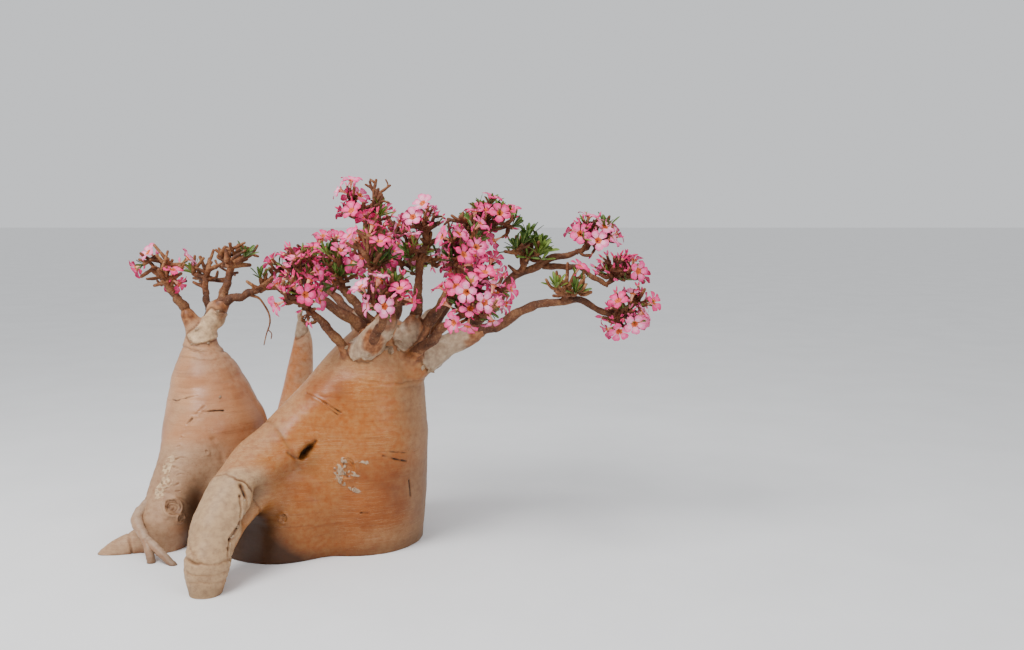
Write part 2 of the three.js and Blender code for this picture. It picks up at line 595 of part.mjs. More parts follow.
// The twigs of a mass: joints with their parents, and the blossoms or leaves on each twig's tip.
function growTwigs(mass) {
  const stem = STEMS[mass.name];
  const joints = stem.points.map((at, i) => ({ at, parent: i - 1, path: i * INTERNODE, tips: 0 }));
  const ends = Array.from({ length: mass.tips }, (_, n) => {
    const draw = numberStream(mass.seed * 1000 + n);
    const [kind, turn] = [draw(), 2 * Math.PI * draw()];
    return { n, draw, kind, turn, first: aim(mass, n, draw) };
  });
  const far = ({ first }) => stem.points[2].distanceTo(first.tip);
  ends.sort((a, b) => far(a) - far(b));

  const twigs = [];
  const others = [];
  const fits = ({ ring, centre, room }) =>
    ring.every((at) => isFree(mass, at, 0, TUFT_REACH)) &&
    others.every((other) => other.centre.distanceTo(centre) > other.room + room);
  for (const end of ends) {
    let best = null;
    for (let tries = 0; tries < TRIES && !(best && best.full); tries++) {
      const goal = tries ? aim(mass, end.n, end.draw) : end.first;
      const from = nearestJoint(joints, goal.tip);
      const points = twigLine(mass, joints[from].at, goal);
      if (!points.length) continue;
      const tuft = tuftOn(mass, end, [joints[from].at, ...points]);
      const pieces = tuft.filter(fits);
      const full = pieces.length === tuft.length;
      if (!best || pieces.length > best.pieces.length) best = { from, points, pieces, full };
    }
    if (!best) continue;
    let last = best.from;
    for (const at of best.points) {
      joints.push({ at, parent: last, path: joints[last].path + INTERNODE, tips: 0 });
      last = joints.length - 1;
    }
    twigs.push({ last, count: best.points.length, pieces: best.pieces });
    others.push(...best.pieces);
    for (let i = last; i >= 0; i = joints[i].parent) joints[i].tips++;
  }
  return { joints, twigs };
}

const twigRadius = (tips, most) => Math.min(most, TWIG_TIP_RADIUS * tips ** TWIG_THICKENING);

// A direction tilted away from an axis, turned round it by an angle.
function splayed(axis, tilt, turn) {
  const level = Math.abs(axis.z) < 0.9 ? UP : new THREE.Vector3(1, 0, 0);
  const side = new THREE.Vector3().crossVectors(axis, level).normalize().applyAxisAngle(axis, turn);
  return axis.clone().multiplyScalar(Math.cos(tilt)).addScaledVector(side, Math.sin(tilt));
}

function closedGeometry(points, faces) {
  const geometry = new THREE.BufferGeometry();
  const positions = points.flatMap(({ x, y, z }) => [x, y, z]);
  geometry.setAttribute("position", new THREE.Float32BufferAttribute(positions, 3));
  geometry.setIndex(faces);
  return geometry;
}

// A trumpet blossom: a five-sided tube that widens from the foot, and a petal on each of its sides.
function blossom(foot, way) {
  const spread = new THREE.Quaternion().setFromUnitVectors(UP, way);
  const at = (radius, turn, height) => {
    const angle = (2 * Math.PI * turn) / PETALS;
    const point = new THREE.Vector3(radius * Math.cos(angle), radius * Math.sin(angle), height);
    return point.applyQuaternion(spread).add(foot);
  };
  const petals = Array.from({ length: PETALS }, (_, i) => i);
  const notches = petals.map((i) => at(BLOSSOM_NOTCH, i, BLOSSOM_TUBE));
  const tips = petals.map((i) => at(BLOSSOM_RADIUS, i + 0.5, BLOSSOM_TUBE + BLOSSOM_DEPTH));
  const centre = at(0, 0, BLOSSOM_TUBE + 0.15 * BLOSSOM_DEPTH);
  const faces = petals.flatMap((i) => {
    const [left, right, tip] = [i, (i + 1) % PETALS, PETALS + i];
    const [throat, base] = [2 * PETALS, 2 * PETALS + 1];
    return [throat, left, tip, throat, tip, right, base, right, left, tip, left, right];
  });
  const geometry = closedGeometry([...notches, ...tips, centre, foot], faces);
  return { ring: tips, centre, room: BLOSSOM_ROOM, geometry };
}

// A narrow leaf with a ridge along each face. Its foot is a point inside the twig's tip.
function leaf(foot, way, side) {
  const face = new THREE.Vector3().crossVectors(way, side).normalize();
  const at = (along, across, out) =>
    foot.clone().addScaledVector(way, along).addScaledVector(side, across).addScaledVector(face, out);
  const tip = at(LEAF_LENGTH, 0, 0);
  const widest = 0.62 * LEAF_LENGTH;
  const ring = [foot, at(widest, LEAF_WIDTH / 2, 0), tip, at(widest, -LEAF_WIDTH / 2, 0)];
  const ridges = [at(widest, 0, LEAF_THICKNESS / 2), at(widest, 0, -LEAF_THICKNESS / 2)];
  const faces = ring.flatMap((_, i) => [4, i, (i + 1) % 4, 5, (i + 1) % 4, i]);
  const geometry = closedGeometry([...ring, ...ridges], faces);
  return { ring, centre: at(widest, 0, 0), room: LEAF_ROOM, geometry };
}

// The blossoms or leaves at the end of a twig.
function tuftOn(mass, { n, kind, turn }, points) {
  const [before, end] = points.slice(-2);
  const line = end.clone().sub(before).normalize();
  const foot = end.clone().addScaledVector(line, -ROOTED);
  const axis = line.addScaledVector(UP, 0.35).normalize();
  const around = (count, tilt) =>
    Array.from({ length: count }, (_, i) => splayed(axis, tilt, turn + (2 * Math.PI * i) / count));
  if (kind < mass.flowers) return around(1 + (n % 2), n % 2 ? 0.85 : 0.3).map((way) => blossom(foot, way));
  if (kind > mass.flowers + mass.leaves) return [];
  return around(LEAVES, 0.75).map((way) => leaf(foot, way, way.clone().cross(axis).normalize()));
}

// Whether each edge borders just two faces, once the points that share a place on the grid are one.
function isClosed(solid) {
  const { attributes, index } = mergeVertices(geometryOf(solid), POINT_GRID / 10);
  const borders = new Map();
  for (let i = 0; i < index.count; i += 3) {
    const corners = [0, 1, 2].map((k) => index.getX(i + k));
    if (new Set(corners).size < 3) continue;
    corners.forEach((a, k) => {
      const b = corners[(k + 1) % 3];
      const edge = Math.min(a, b) * attributes.position.count + Math.max(a, b);
      borders.set(edge, (borders.get(edge) || 0) + 1);
    });
  }
  return [...borders.values()].every((count) => count === 2);
}

function massSolid(mass, attempt = 0) {
  const stem = STEMS[mass.name];
  const { joints, twigs } = growTwigs(mass);
  const sizes = joints.map(({ tips }) => twigRadius(Math.max(1, tips), stem.radius));
  const endRadius = Math.max(sizes[2], 0.8 * stem.radius);
  const knuckle = vector(beyond(stem.points[1].toArray(), stem.points[2].toArray(), endRadius));
  const stemRadii = [stem.radius, stem.radius, endRadius, endRadius / 2];
  const stemPoints = [...stem.points, knuckle];
  const pieces = [solidOf(taperedTube(stemPoints, stemRadii, STEM_SIDES, stem.way))];
  for (const twig of twigs) {
    const line = [twig.last];
    while (line.length <= twig.count) line.unshift(joints[line[0]].parent);
    const radii = line.map((i) => sizes[i]);
    radii[0] = 0.9 * radii[1];
    pieces.push(solidOf(taperedTube(line.map((i) => joints[i].at), radii, TWIG_SIDES)));
    for (const { geometry } of twig.pieces) {
      pieces.push(solidOf(geometry.clone().translate(0, 0, -TUFT_DROP * attempt)));
    }
  }
  const solid = settled(cutClear(wasm.Manifold.union(pieces)));
  return isClosed(solid) ? solid : massSolid(mass, attempt + 1);
}

for (const mass of MASSES) solids[mass.name] = massSolid(mass);

const finishes = Object.fromEntries(
  Object.entries({ BARK, TWIG_BARK, BLOSSOM, LEAF }).map(([name, look]) => [
    name,
    new THREE.MeshStandardMaterial(look),
  ]),
);

function finishOf(name) {
  if (name.startsWith("stem") || name === "prop_root") return finishes.BARK;
  if (name.startsWith("bough")) return finishes.TWIG_BARK;
  const { flowers, leaves } = MASSES.find((mass) => mass.name === name);
  if (flowers + leaves < 0.5) return finishes.TWIG_BARK;
  return flowers >= leaves ? finishes.BLOSSOM : finishes.LEAF;
}

const plant = new THREE.Group();
for (const [name, solid] of Object.entries(solids)) {
  const mesh = new THREE.Mesh(geometryOf(solid), finishOf(name));
  mesh.name = name;
  plant.add(mesh);
}

export default plant;
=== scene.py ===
"""The looks of a flowering desert rose: a swollen bottle stem with a second one beside it, boughs, knobbly
twigs, trumpet blossoms and tufts of leaves. Lengths are in millimetres until a mesh is made."""

import json
import math

import bpy
import numpy as np
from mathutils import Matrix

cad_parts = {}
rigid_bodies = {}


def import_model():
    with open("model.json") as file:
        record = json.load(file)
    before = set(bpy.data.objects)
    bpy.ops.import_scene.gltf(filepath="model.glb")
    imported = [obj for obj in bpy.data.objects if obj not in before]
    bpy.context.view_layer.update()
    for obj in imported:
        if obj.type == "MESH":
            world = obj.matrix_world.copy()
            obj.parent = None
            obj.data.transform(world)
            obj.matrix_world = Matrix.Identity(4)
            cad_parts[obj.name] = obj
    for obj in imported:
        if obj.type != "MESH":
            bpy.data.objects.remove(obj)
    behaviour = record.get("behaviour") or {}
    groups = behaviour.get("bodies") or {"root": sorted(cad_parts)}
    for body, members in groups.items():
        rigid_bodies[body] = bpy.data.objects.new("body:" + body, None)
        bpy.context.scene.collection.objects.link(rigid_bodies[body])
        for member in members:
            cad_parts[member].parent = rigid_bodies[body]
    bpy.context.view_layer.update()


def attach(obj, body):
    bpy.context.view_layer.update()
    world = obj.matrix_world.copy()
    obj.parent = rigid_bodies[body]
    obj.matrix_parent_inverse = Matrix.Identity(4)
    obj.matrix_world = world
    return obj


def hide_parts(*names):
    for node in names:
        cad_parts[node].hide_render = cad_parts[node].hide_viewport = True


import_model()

MM = 0.001
SKIN_CELL = 8  # grid size of the stems' bark
MARK_BANDS = ((1, 0.45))  # the bark is cut finer within these shares of a mark's band
BARK_STEPS = 40  # steps along a bough's bark
COARSE_STEP = 4  # grid cells in a step of the coarse grid
SKIN_ROUNDS = 2  # how often a point of the bark is moved closer to the skin
SKIN_BLEND = 70  # how widely two swellings flow into each other
LIMB_BLEND = 36
COLLAR_BLEND = 30
COLLAR_SWELLS = (9, 7, 5, 3, 1, -2, -6, -10)  # how much wider than its bough a collar is, step by step
CURVE_STEPS = 4
BOUGH_STEPS = 4
BALL_STEPS = 16
INTERNODE = 60
TWIG_TIP_RADIUS = 7
TWIG_THICKENING = 0.4
TWIG_MARGIN = 2
JOINT_GAP = 0.3
TIP_REACH = (0.5, 0.85)
TIP_LIFT = 0.35  # how far what grows on a twig's tip turns upwards
TUFT_REACH = 1.4
TRIES = 14
STEMS_TOP = 1150  # above this height no stem is near
BLOSSOM_ROOM = 38
LEAF_ROOM = 10
BLOSSOM_RADIUS = 46
BLOSSOM_TUBE = 46
BLOSSOM_DEPTH = 13
PETALS = 5
LEAF_LENGTH = 92
LEAF_WIDTH = 15
LEAVES = 5
ROOTED = 8
ROOT_STEPS = 24  # steps along a bough where it leaves a stem, and along the prop root
ROOT_BACK, ROOT_SINK = 26, 24  # how far a bough's root goes back along it and into the stem
LIMB_RELIEF = 0.6  # how strongly the bark's relief shows on the thinner limbs
TRUMPET_SIDES = 10
TRUMPET_RINGS = ((3.2, 0), (3.4, 14), (5.0, 28), (7.6, 38), (9.2, 44), (3.4, 31))  # radii and heights
BUD_SIDES = 6
PETAL_ROWS, PETAL_COLUMNS = 8, 7  # points along a petal and across it
WIDEST_AT, PETAL_HALF = 0.6, 17.5  # the share of its length where a petal is widest, half its width there
LEAF_PLACES = (-1, -0.13, 0.13, 1)  # points across a leaf, as shares of half its width
THICKEST_SIDE_TWIG = 8.2
SIDE_TWIG_ROOM = 20
SIDE_TWIG_REACH = 1.15
BLOSSOM_SPACING = 55
LIP_SEED, FLAKE_SEED, BOUGH_SEED, MASS_SEED, DRY_SEED = 5, 77, 500, 9000, 4242
CAMERA_DROP = 6.81  # degrees below the horizon
SIDE_SHARE = {"twigs_right_inner": 0.1, "twigs_right_mid": 0.35}
GOLDEN_ANGLE = math.pi * (3 - math.sqrt(5))
UP = np.array([0.0, 0.0, 1.0])
CORNERS = np.array([[i & 1, i >> 1 & 1, i >> 2] for i in range(8)])
EDGES = [(i, i | step) for i in range(8) for step in (1, 2, 4) if not i & step]

# Numbers of the looks of a blossom's faces. The first three come in several shades.
HEART, MIDDLE, RIM, TUBE, THROAT, CALYX = range(6)
PETAL_LOOKS = 6
SHADE_ORDER = (0, 0, 1, 2, 0, 2)
SHADES = [
    ("f683ad", "f273a4", "f05a98", "ec4e8e", "ea4288", "e2387c"),
    ("fbb2cb", "f9a2c0", "f68ab4", "f27cab", "ef6ba0", "e95c94"),
    ("f2659c", "ec568f", "e83f82", "e03476", "dc2e70", "d02463"),
]
GREENS = 3
LEAF_RIB = GREENS

# How many finer twigs leave a mass's stem, a twig and a finer twig, and how long they are at most
LIVING_GROWTH = {"stem": (3, 80), "twig": (4, 78), "finer": (1, 46)}
DRY_GROWTH = {"stem": (2, 80), "twig": (2, 105), "finer": (0, 0)}

# How many leaves a rosette has and how long they are, on a lush mass (True) and on any other
LEAFY_TIP = {True: (14, 88), False: (10, 76)}
FLOWERING_TIP = {True: (10, 84), False: (5, 48)}
LEAFY_SIDE, FLOWERING_SIDE = (6, 60), (4, 44)

# What a drawn number stays under where a tip bears a rosette, and a side twig what it is named for
LEAFY_TIP_LUCK, FLOWERING_TIP_LUCK = 0.75, 0.5
BLOSSOM_LUCK, BUD_LUCK, ROSETTE_LUCK, LEAFY_SIDE_LUCK = 0.76, 0.85, 0.92, 0.2

# Whole numbers that scatter the values of the noise and of the number stream
PLACE_FACTORS = np.array([73856093, 19349663, 83492791])
SEED_FACTOR = 2654435
SPREAD_FACTOR = 1274126177
STREAM_STEP = 0x6D2B79F5
WORD = 0xFFFFFFFF

MAIN_STEM = {
    "swellings": [
        [[55, 0, -60, 268], [65, 0, 225, 284], [85, 0, 465, 270], [115, 0, 640, 230], [165, 0, 790, 168]],
        [[-265, -130, -60, 236], [-180, -120, 190, 232], [-60, -70, 420, 180]],
        [[105, -20, 700, 165], [-30, -80, 590, 160], [-165, -140, 470, 150], [-290, -260, 365, 128]],
        [[-290, -260, 365, 122], [-362, -420, 302, 113], [-411, -555, 195, 93], [-420, -640, 90, 63]],
        [[-420, -640, 90, 63], [-418, -684, -60, 52]],
    ],
    "limbs": [
        {"path": [[70, -110, 765], [145, -185, 880], [215, -228, 965]], "radii": [64, 50, 31]},
        {"path": [[300, -50, 760], [440, -40, 840], [540, -20, 885]], "radii": [76, 45, 29]},
        {"path": [[230, -40, 810], [305, -58, 930]], "radii": [66, 37]},
        {"path": [[110, 70, 810], [40, 175, 930]], "radii": [66, 35]},
        {"path": [[270, 70, 800], [360, 170, 930]], "radii": [66, 35]},
    ],
}
LEFT_STEM = {
    "swellings": [
        [[-585, 180, -60, 246], [-600, 190, 215, 254], [-618, 200, 420, 228], [-646, 200, 605, 154]],
        [[-646, 200, 605, 154], [-674, 200, 775, 80], [-674, 200, 840, 60]],
        [[-645, 110, 460, 146], [-685, 20, 325, 128], [-730, -70, 195, 108], [-750, -135, 90, 92]],
        [[-750, -135, 90, 92], [-752, -160, -50, 82]],
    ],
    "limbs": [
        {
            "path": [[-765, -150, 40], [-845, -190, 28], [-910, -212, 10], [-962, -226, -14]],
            "radii": [66, 60, 54, 45],
       },
        {"path": [[-672, 198, 800], [-688, 195, 865], [-720, 182, 945]], "radii": [60, 42, 27]},
        {"path": [[-672, 200, 800], [-652, 201, 872], [-592, 205, 970]], "radii": [60, 45, 31]},
    ],
}
REAR_STEM = {
    "path": [[-358, 405, -40], [-332, 450, 320], [-300, 488, 600], [-279, 500, 790], [-284, 502, 868]],
    "radii": [118, 96, 66, 44, 24],
}
PROP_ROOT = {
    "arch": {"path": [[-800, -110, 195], [-835, -215, 145], [-772, -300, 84]], "radii": [19, 18, 18]},
    "feet": [
        {"path": [[-776, -294, 90], [-748, -328, 40], [-730, -350, -20]], "radii": [16, 15, 14]},
        {"path": [[-776, -294, 88], [-700, -340, 42], [-615, -380, -20]], "radii": [16, 15, 13]},
    ],
}
BOUGH_ROWS = [
    ["bough_left_low", [45, -150, 815], [-25, -222, 935], [-80, -250, 1000], 21, 13],
    ["bough_left", [150, -100, 880], [40, -148, 975], [-85, -140, 1060], 27, 15],
    ["bough_left_mid", [160, -30, 880], [80, -62, 1000], [20, -40, 1065], 25, 15],
    ["bough_top_left", [190, 0, 880], [140, -8, 1080], [112, -38, 1275], 27, 13],
    ["bough_centre_front", [205, -222, 948], [236, -258, 1040], [200, -270, 1110], 23, 14],
    ["bough_centre", [296, -56, 910], [318, -48, 1010], [325, -40, 1100], 26, 16],
    ["bough_centre_right", [320, -50, 850], [412, -66, 1010], [480, -90, 1105], 27, 15],
    ["bough_right_top", [345, 60, 870], [485, 62, 1070], [578, 40, 1250], 26, 12],
    ["bough_front_low", [125, -170, 840], [190, -285, 935], [215, -340, 1000], 22, 13],
    ["bough_front_right", [300, -110, 800], [405, -235, 905], [480, -290, 970], 24, 14],
    ["bough_right_low", [520, -24, 872], [665, -42, 935], [815, -60, 1015], 25, 17],
    ["bough_right_low_tip", "bough_right_low", [980, -78, 1035], [1120, -90, 980], 17, 11],
    ["bough_right_up", [420, 20, 800], [620, 62, 980], [725, 40, 1130], 25, 18],
    ["bough_right_up_tip", "bough_right_up", [872, 25, 1194], [1000, 8, 1236], 17, 11],
    ["bough_right_over", [895, 22, 1180], [1010, -25, 1160], [1095, -42, 1110], 13, 10],
    ["bough_rear_left", [50, 160, 905], [-35, 240, 980], [-110, 300, 1040], 25, 15],
    ["bough_rear", [195, 90, 860], [196, 215, 980], [180, 310, 1070], 28, 16],
    ["bough_rear_right", [350, 160, 905], [420, 240, 1000], [470, 310, 1055], 25, 15],
    ["bough_far_left", [-712, 184, 930], [-750, 175, 1005], [-785, 170, 1055], 24, 16],
    ["bough_far_top", [-592, 205, 955], [-565, 210, 1035], [-545, 215, 1105], 25, 15],
    ["bough_far_right", [-585, 206, 985], [-500, 190, 1025], [-425, 180, 1050], 22, 14],
    ["bough_far_rear", [-660, 222, 860], [-662, 290, 965], [-685, 340, 1035], 22, 14],
]
MASS_ROWS = [
    ["twigs_left_low", "bough_left_low", [-142, -270, 1070], [100, 95, 95], 7, 0.9, 0.1, 11],
    ["twigs_left", "bough_left", [-150, -135, 1170], [120, 100, 95], 8, 0.8, 0.2, 12],
    ["twigs_left_mid", "bough_left_mid", [-15, -30, 1175], [95, 100, 125], 8, 0.5, 0.4, 13],
    ["twigs_top_left", "bough_top_left", [115, -60, 1420], [115, 95, 135], 8, 0.7, 0.2, 14],
    ["twigs_centre_left", "bough_centre_front", [150, -235, 1235], [120, 110, 150], 10, 0.7, 0.15, 15],
    ["twigs_centre", "bough_centre", [338, -30, 1268], [130, 125, 180], 11, 0.5, 0.25, 51],
    ["twigs_centre_right", "bough_centre_right", [505, -110, 1270], [115, 110, 180], 11, 0.75, 0.2, 17],
    ["twigs_right_top", "bough_right_top", [625, 28, 1355], [115, 95, 100], 7, 0.4, 0.6, 38],
    ["twigs_front_low", "bough_front_low", [225, -385, 1080], [130, 100, 100], 8, 0.8, 0.1, 19],
    ["twigs_front_right", "bough_front_right", [600, -330, 1045], [160, 110, 120], 10, 0.8, 0.2, 20],
    ["twigs_right_inner", "bough_right_up_tip", [790, -20, 1240], [105, 95, 95], 6, 0.35, 0.65, 21],
    ["twigs_right_end_top", "bough_right_up_tip", [1055, -5, 1300], [125, 95, 95], 7, 0.6, 0.4, 22],
    ["twigs_right_end", "bough_right_over", [1175, -50, 1150], [110, 95, 90], 7, 0.9, 0.1, 23],
    ["twigs_right_mid", "bough_right_low_tip", [955, -150, 1095], [130, 95, 95], 8, 0.25, 0.15, 32],
    ["twigs_right_end_low", "bough_right_low_tip", [1205, -100, 985], [105, 100, 125], 8, 0.9, 0.1, 24],
    ["twigs_rear_left", "bough_rear_left", [-165, 345, 1150], [150, 130, 150], 9, 0.6, 0.25, 45],
    ["twigs_rear", "bough_rear", [165, 360, 1240], [155, 130, 185], 11, 0.55, 0.3, 26],
    ["twigs_rear_right", "bough_rear_right", [515, 350, 1175], [155, 130, 165], 11, 0.6, 0.25, 27],
    ["twigs_far_left", "bough_far_left", [-825, 160, 1145], [125, 110, 120], 11, 0.25, 0, 28],
    ["twigs_far_top", "bough_far_top", [-520, 220, 1200], [115, 100, 110], 11, 0, 0.15, 29],
    ["twigs_far_right", "bough_far_right", [-352, 172, 1082], [100, 90, 85], 8, 0, 0.15, 30],
    ["twigs_far_rear", "bough_far_rear", [-695, 400, 1130], [120, 100, 115], 10, 0.15, 0.15, 31],
]

# Marks in the bark. A groove follows a path, a ring lies round a centre across a way, and both have a
# width and a depth. A knot has a centre, a radius and a height. A plate of loose bark lies along a path
# within a radius and stands proud by a height, and a crust is a plate broken into small scales. A flake
# is a loose scale at a place, with its size and how far it curls off.
ARM_VALLEY = [[-112, -300, 398], [-165, -335, 372], [-215, -385, 345], [-262, -440, 325]]
MAIN_MARKS = {
    "grooves": [
        ([[-76, -281, 482], [-98, -290, 456], [-122, -302, 424]], 8, 20),
        ([[-97, -290, 458], [-113, -297, 437]], 17, 44),
        ([[-116, -302, 420], [-146, -318, 424], [-176, -326, 446]], 8, 7),
        (ARM_VALLEY, 36, 15),
        ([[-256, -452, 322], [-258, -462, 292], [-268, -478, 258], [-292, -510, 226]], 36, 30),
        (
            [[-322, -502, 366], [-302, -514, 332], [-294, -512, 298], [-295, -518, 262], [-307, -540, 232]],
            8,
            13,
        ),
        ([[-122, -196, 664], [-48, -236, 637], [24, -253, 596]], 3.4, 5.5),
        ([[-92, -218, 642], [-30, -243, 614], [14, -255, 585]], 2.8, 4),
        ([[-70, -228, 600], [-20, -246, 590]], 2.4, 2.5),
        ([[192, -248, 416], [235, -225, 396], [280, -186, 377]], 3.6, 5),
        ([[150, -262, 433], [215, -240, 430], [300, -170, 408], [362, -60, 412]], 2.6, 2.5),
        ([[289, -173, 292], [292, -168, 226]], 4.2, 7),
        ([[103, -278, 185], [128, -272, 183]], 4, 7),
        (
            [
                [-318, -530, 330], [-312, -545, 285], [-318, -560, 240],
                [-340, -612, 196], [-350, -632, 130], [-346, -645, 84],
            ],
            4.6,
            8,
        ),
        ([[-314, -556, 240], [-330, -590, 205], [-340, -612, 186]], 7, 10),
        ([[-343, -628, 158], [-345, -640, 130]], 5.5, 8),
        ([[-420, -560, 300], [-425, -590, 270], [-432, -600, 262]], 3.5, 4),
        ([[60, 270, 560], [90, 268, 500], [150, 262, 470]], 3.4, 5),
        ([[330, 120, 520], [340, 60, 500], [332, -20, 512]], 3.2, 4.5),
        ([[-20, 262, 300], [30, 276, 270]], 3.6, 5),
    ],
    "rings": [
        ([-362, -440, 330], [-0.28, -0.72, -0.45], 150, 4.5, 6),
        ([-410, -640, 126], [0.1, 0.05, 1.0], 120, 5, 8),
        ([-414, -650, 88], [0.12, 0.0, 1.0], 105, 3.6, 3.5),
        ([-416, -660, 52], [0.05, 0.1, 1.0], 105, 3.6, 3),
        ([-400, -600, 190], [0.1, -0.5, 1.0], 140, 4, 2.5),
        ([-235, -190, 430], [-0.75, -0.5, -0.35], 190, 8, 3),
        ([175, 0, 735], [0.15, -0.1, 1.0], 260, 4, 3),
        ([175, 0, 700], [0.12, -0.05, 1.0], 270, 4, 2),
        ([100, 0, 560], [-0.05, 0.1, 1.0], 330, 4, 1.6),
        ([90, 0, 480], [0.03, 0.05, 1.0], 340, 4, 1.5),
    ],
    "knots": [
        ([54, -277, 374], 36, 10),
        ([27, -283, 318], 11, 3),
        ([74, -280, 286], 9, 2.5),
        ([-194, -354, 184], 16, 9),
        ([140, -262, 612], 6, 2.5),
        ([300, 60, 300], 24, 7),
        ([40, 285, 420], 28, 8),
        ([-120, 170, 520], 18, 6),
    ],
    "plates": [
        ([[100, -150, 842], [150, -200, 890], [215, -235, 965]], 64, 6),
        ([[384, -66, 806], [450, -60, 850], [535, -25, 885]], 68, 6),
        ([[262, -100, 868], [300, -90, 925]], 46, 5),
        ([[105, 95, 842], [55, 165, 915]], 62, 5),
        ([[292, 92, 842], [350, 165, 915]], 60, 5),
    ],
    "crusts": [
        ([[34, -280, 392], [12, -280, 368], [30, -282, 350]], 20, 4),
        ([[10, -284, 326], [36, -284, 312]], 14, 3),
        ([[60, -281, 294], [92, -278, 276]], 12, 3),
        ([[80, -275, 400], [125, -268, 392]], 9, 2),
        ([[76, -277, 350], [98, -275, 338]], 9, 2),
        ([[-312, -530, 318], [-306, -545, 262], [-334, -605, 205], [-348, -636, 110]], 8, 2.5),
    ],
    "flakes": [
        ([225, -160, 850], 34, 10),
        ([236, -150, 872], 26, 7),
        ([200, -170, 838], 22, 6),
        ([366, -88, 748], 30, 7),
        ([380, -60, 742], 26, 9),
        ([352, -100, 770], 24, 8),
        ([44, -282, 384], 15, 3),
        ([30, -283, 372], 12, 3),
        ([60, -280, 360], 11, 4),
        ([24, -284, 322], 12, 3),
        ([72, -281, 288], 13, 4),
        ([-302, -528, 268], 15, 5),
        ([-316, -566, 222], 17, 6),
        ([-334, -604, 190], 14, 5),
        ([-343, -630, 130], 13, 5),
        ([-300, -520, 312], 12, 4),
    ],
}
LEFT_MARKS = {
    "grooves": [
        ([[-768, 60, 590], [-734, 32, 588], [-690, 20, 602], [-638, 20, 612]], 3, 4),
        ([[-640, -12, 552], [-600, -14, 549], [-560, 0, 552], [-528, 20, 548]], 3, 4.5),
        ([[-668, -40, 503], [-650, -30, 522]], 4.5, 6),
        ([[-634, -18, 540], [-620, -10, 556], [-606, -4, 570]], 4.5, 5),
        ([[-694, -58, 474], [-680, -52, 488]], 4.2, 6),
        ([[-708, -70, 440], [-690, -64, 450]], 4, 6),
        ([[-716, -82, 408], [-694, -78, 414]], 4, 6),
        ([[-596, -36, 478], [-578, -34, 470]], 3.6, 5),
        ([[-702, -100, 362], [-686, -97, 370], [-670, -96, 369]], 3.2, 4.2),
        ([[-706, -118, 334], [-692, -117, 328]], 4, 5),
        ([[-690, -132, 302], [-676, -127, 308], [-656, -124, 304]], 2.8, 3.4),
        ([[-702, -148, 258], [-682, -144, 268]], 4.4, 4.6),
        ([[-690, -157, 240], [-672, -153, 242]], 3, 3.6),
        ([[-708, -196, 184], [-692, -192, 172], [-678, -189, 156]], 12, 11),
        ([[-560, -40, 430], [-530, -30, 380], [-520, -30, 300]], 14, 6),
        ([[-640, 430, 480], [-600, 428, 470], [-560, 420, 476]], 3.4, 5),
    ],
    "rings": [
        ([-650, 200, 790], [0.1, 0.05, 1.0], 130, 4.5, 5),
        ([-655, 200, 752], [0.05, 0.1, 1.0], 150, 3.4, 2.5),
        ([-742, -110, 175], [-0.2, -0.75, -0.6], 150, 5, 4),
        ([-870, -200, 22], [-1.0, -0.3, -0.2], 110, 5, 5),
        ([-715, -40, 260], [-0.3, -0.7, -0.7], 160, 4, 2),
        ([-610, 190, 640], [0.05, 0.0, 1.0], 260, 3.4, 1.8),
    ],
    "knots": [
        ([-700, -194, 176], 38, 11),
        ([-668, -189, 134], 17, 8),
        ([-585, -58, 380], 12, 3),
        ([-640, 440, 330], 22, 7),
    ],
    "plates": [
        ([[-664, 170, 850], [-636, 190, 880], [-600, 205, 930]], 50, 6),
    ],
    "crusts": [
        ([[-723, -100, 362], [-737, -125, 320]], 25, 3),
        ([[-730, -140, 286], [-756, -165, 234]], 30, 3),
    ],
    "flakes": [
        ([-560, 60, 600], 14, 3),
        ([-752, -150, 280], 11, 3),
        ([-760, -165, 240], 12, 3),
        ([-735, -120, 330], 10, 3),
    ],
}
REAR_MARKS = {
    "plates": [([[-300, 470, 850], [-285, 500, 920]], 46, 3)],
    "rings": [([-300, 488, 600], [0, 0.1, 1], 90, 3.5, 3), ([-330, 450, 380], [0.1, 0, 1], 120, 3.5, 3)],
    "grooves": [([[-312, 400, 560], [-308, 404, 520]], 3.5, 4)],
}


def unit(way):
    return way / np.linalg.norm(way)


def lerp(a, b, share):
    return a + (b - a) * share


def number_stream(seed):
    """A repeatable stream of numbers from 0 to 1."""
    state = seed & WORD
    while True:
        state = (state + STREAM_STEP) & WORD
        mixed = ((state ^ (state >> 15)) * (1 | state)) & WORD
        mixed = ((mixed + ((mixed ^ (mixed >> 7)) * (61 | mixed))) & WORD) ^ mixed
        yield ((mixed ^ (mixed >> 14)) & WORD) / (WORD + 1)


def curve_point(path, share):
    """A point on the smooth curve through a path, at a share of its stretches."""
    place = (len(path) - 1) * share
    row = math.floor(place)
    weight = place - row
    if row >= len(path) - 1:
        row, weight = len(path) - 2, 1
    before = path[row - 1] if row > 0 else 2 * path[0] - path[1]
    after = path[row + 2] if row + 2 < len(path) else 2 * path[-1] - path[-2]
    a, b = path[row], path[row + 1]
    first, middle, last = (np.sum((q - p) ** 2) ** 0.25 for p, q in ((before, a), (a, b), (b, after)))
    if middle < 1e-4:
        middle = 1
    if first < 1e-4:
        first = middle
    if last < 1e-4:
        last = middle
    leave = ((a - before) / first - (b - before) / (first + middle) + (b - a) / middle) * middle
    reach = ((b - a) / middle - (after - a) / (middle + last) + (after - b) / last) * middle
    square = -3 * a + 3 * b - 2 * leave - reach
    cube = 2 * a - 2 * b + leave + reach
    return a + weight * (leave + weight * (square + weight * cube))


def curve_points(path, steps):
    path = [np.array(p, float) for p in path]
    return [curve_point(path, i / steps) for i in range(steps + 1)]


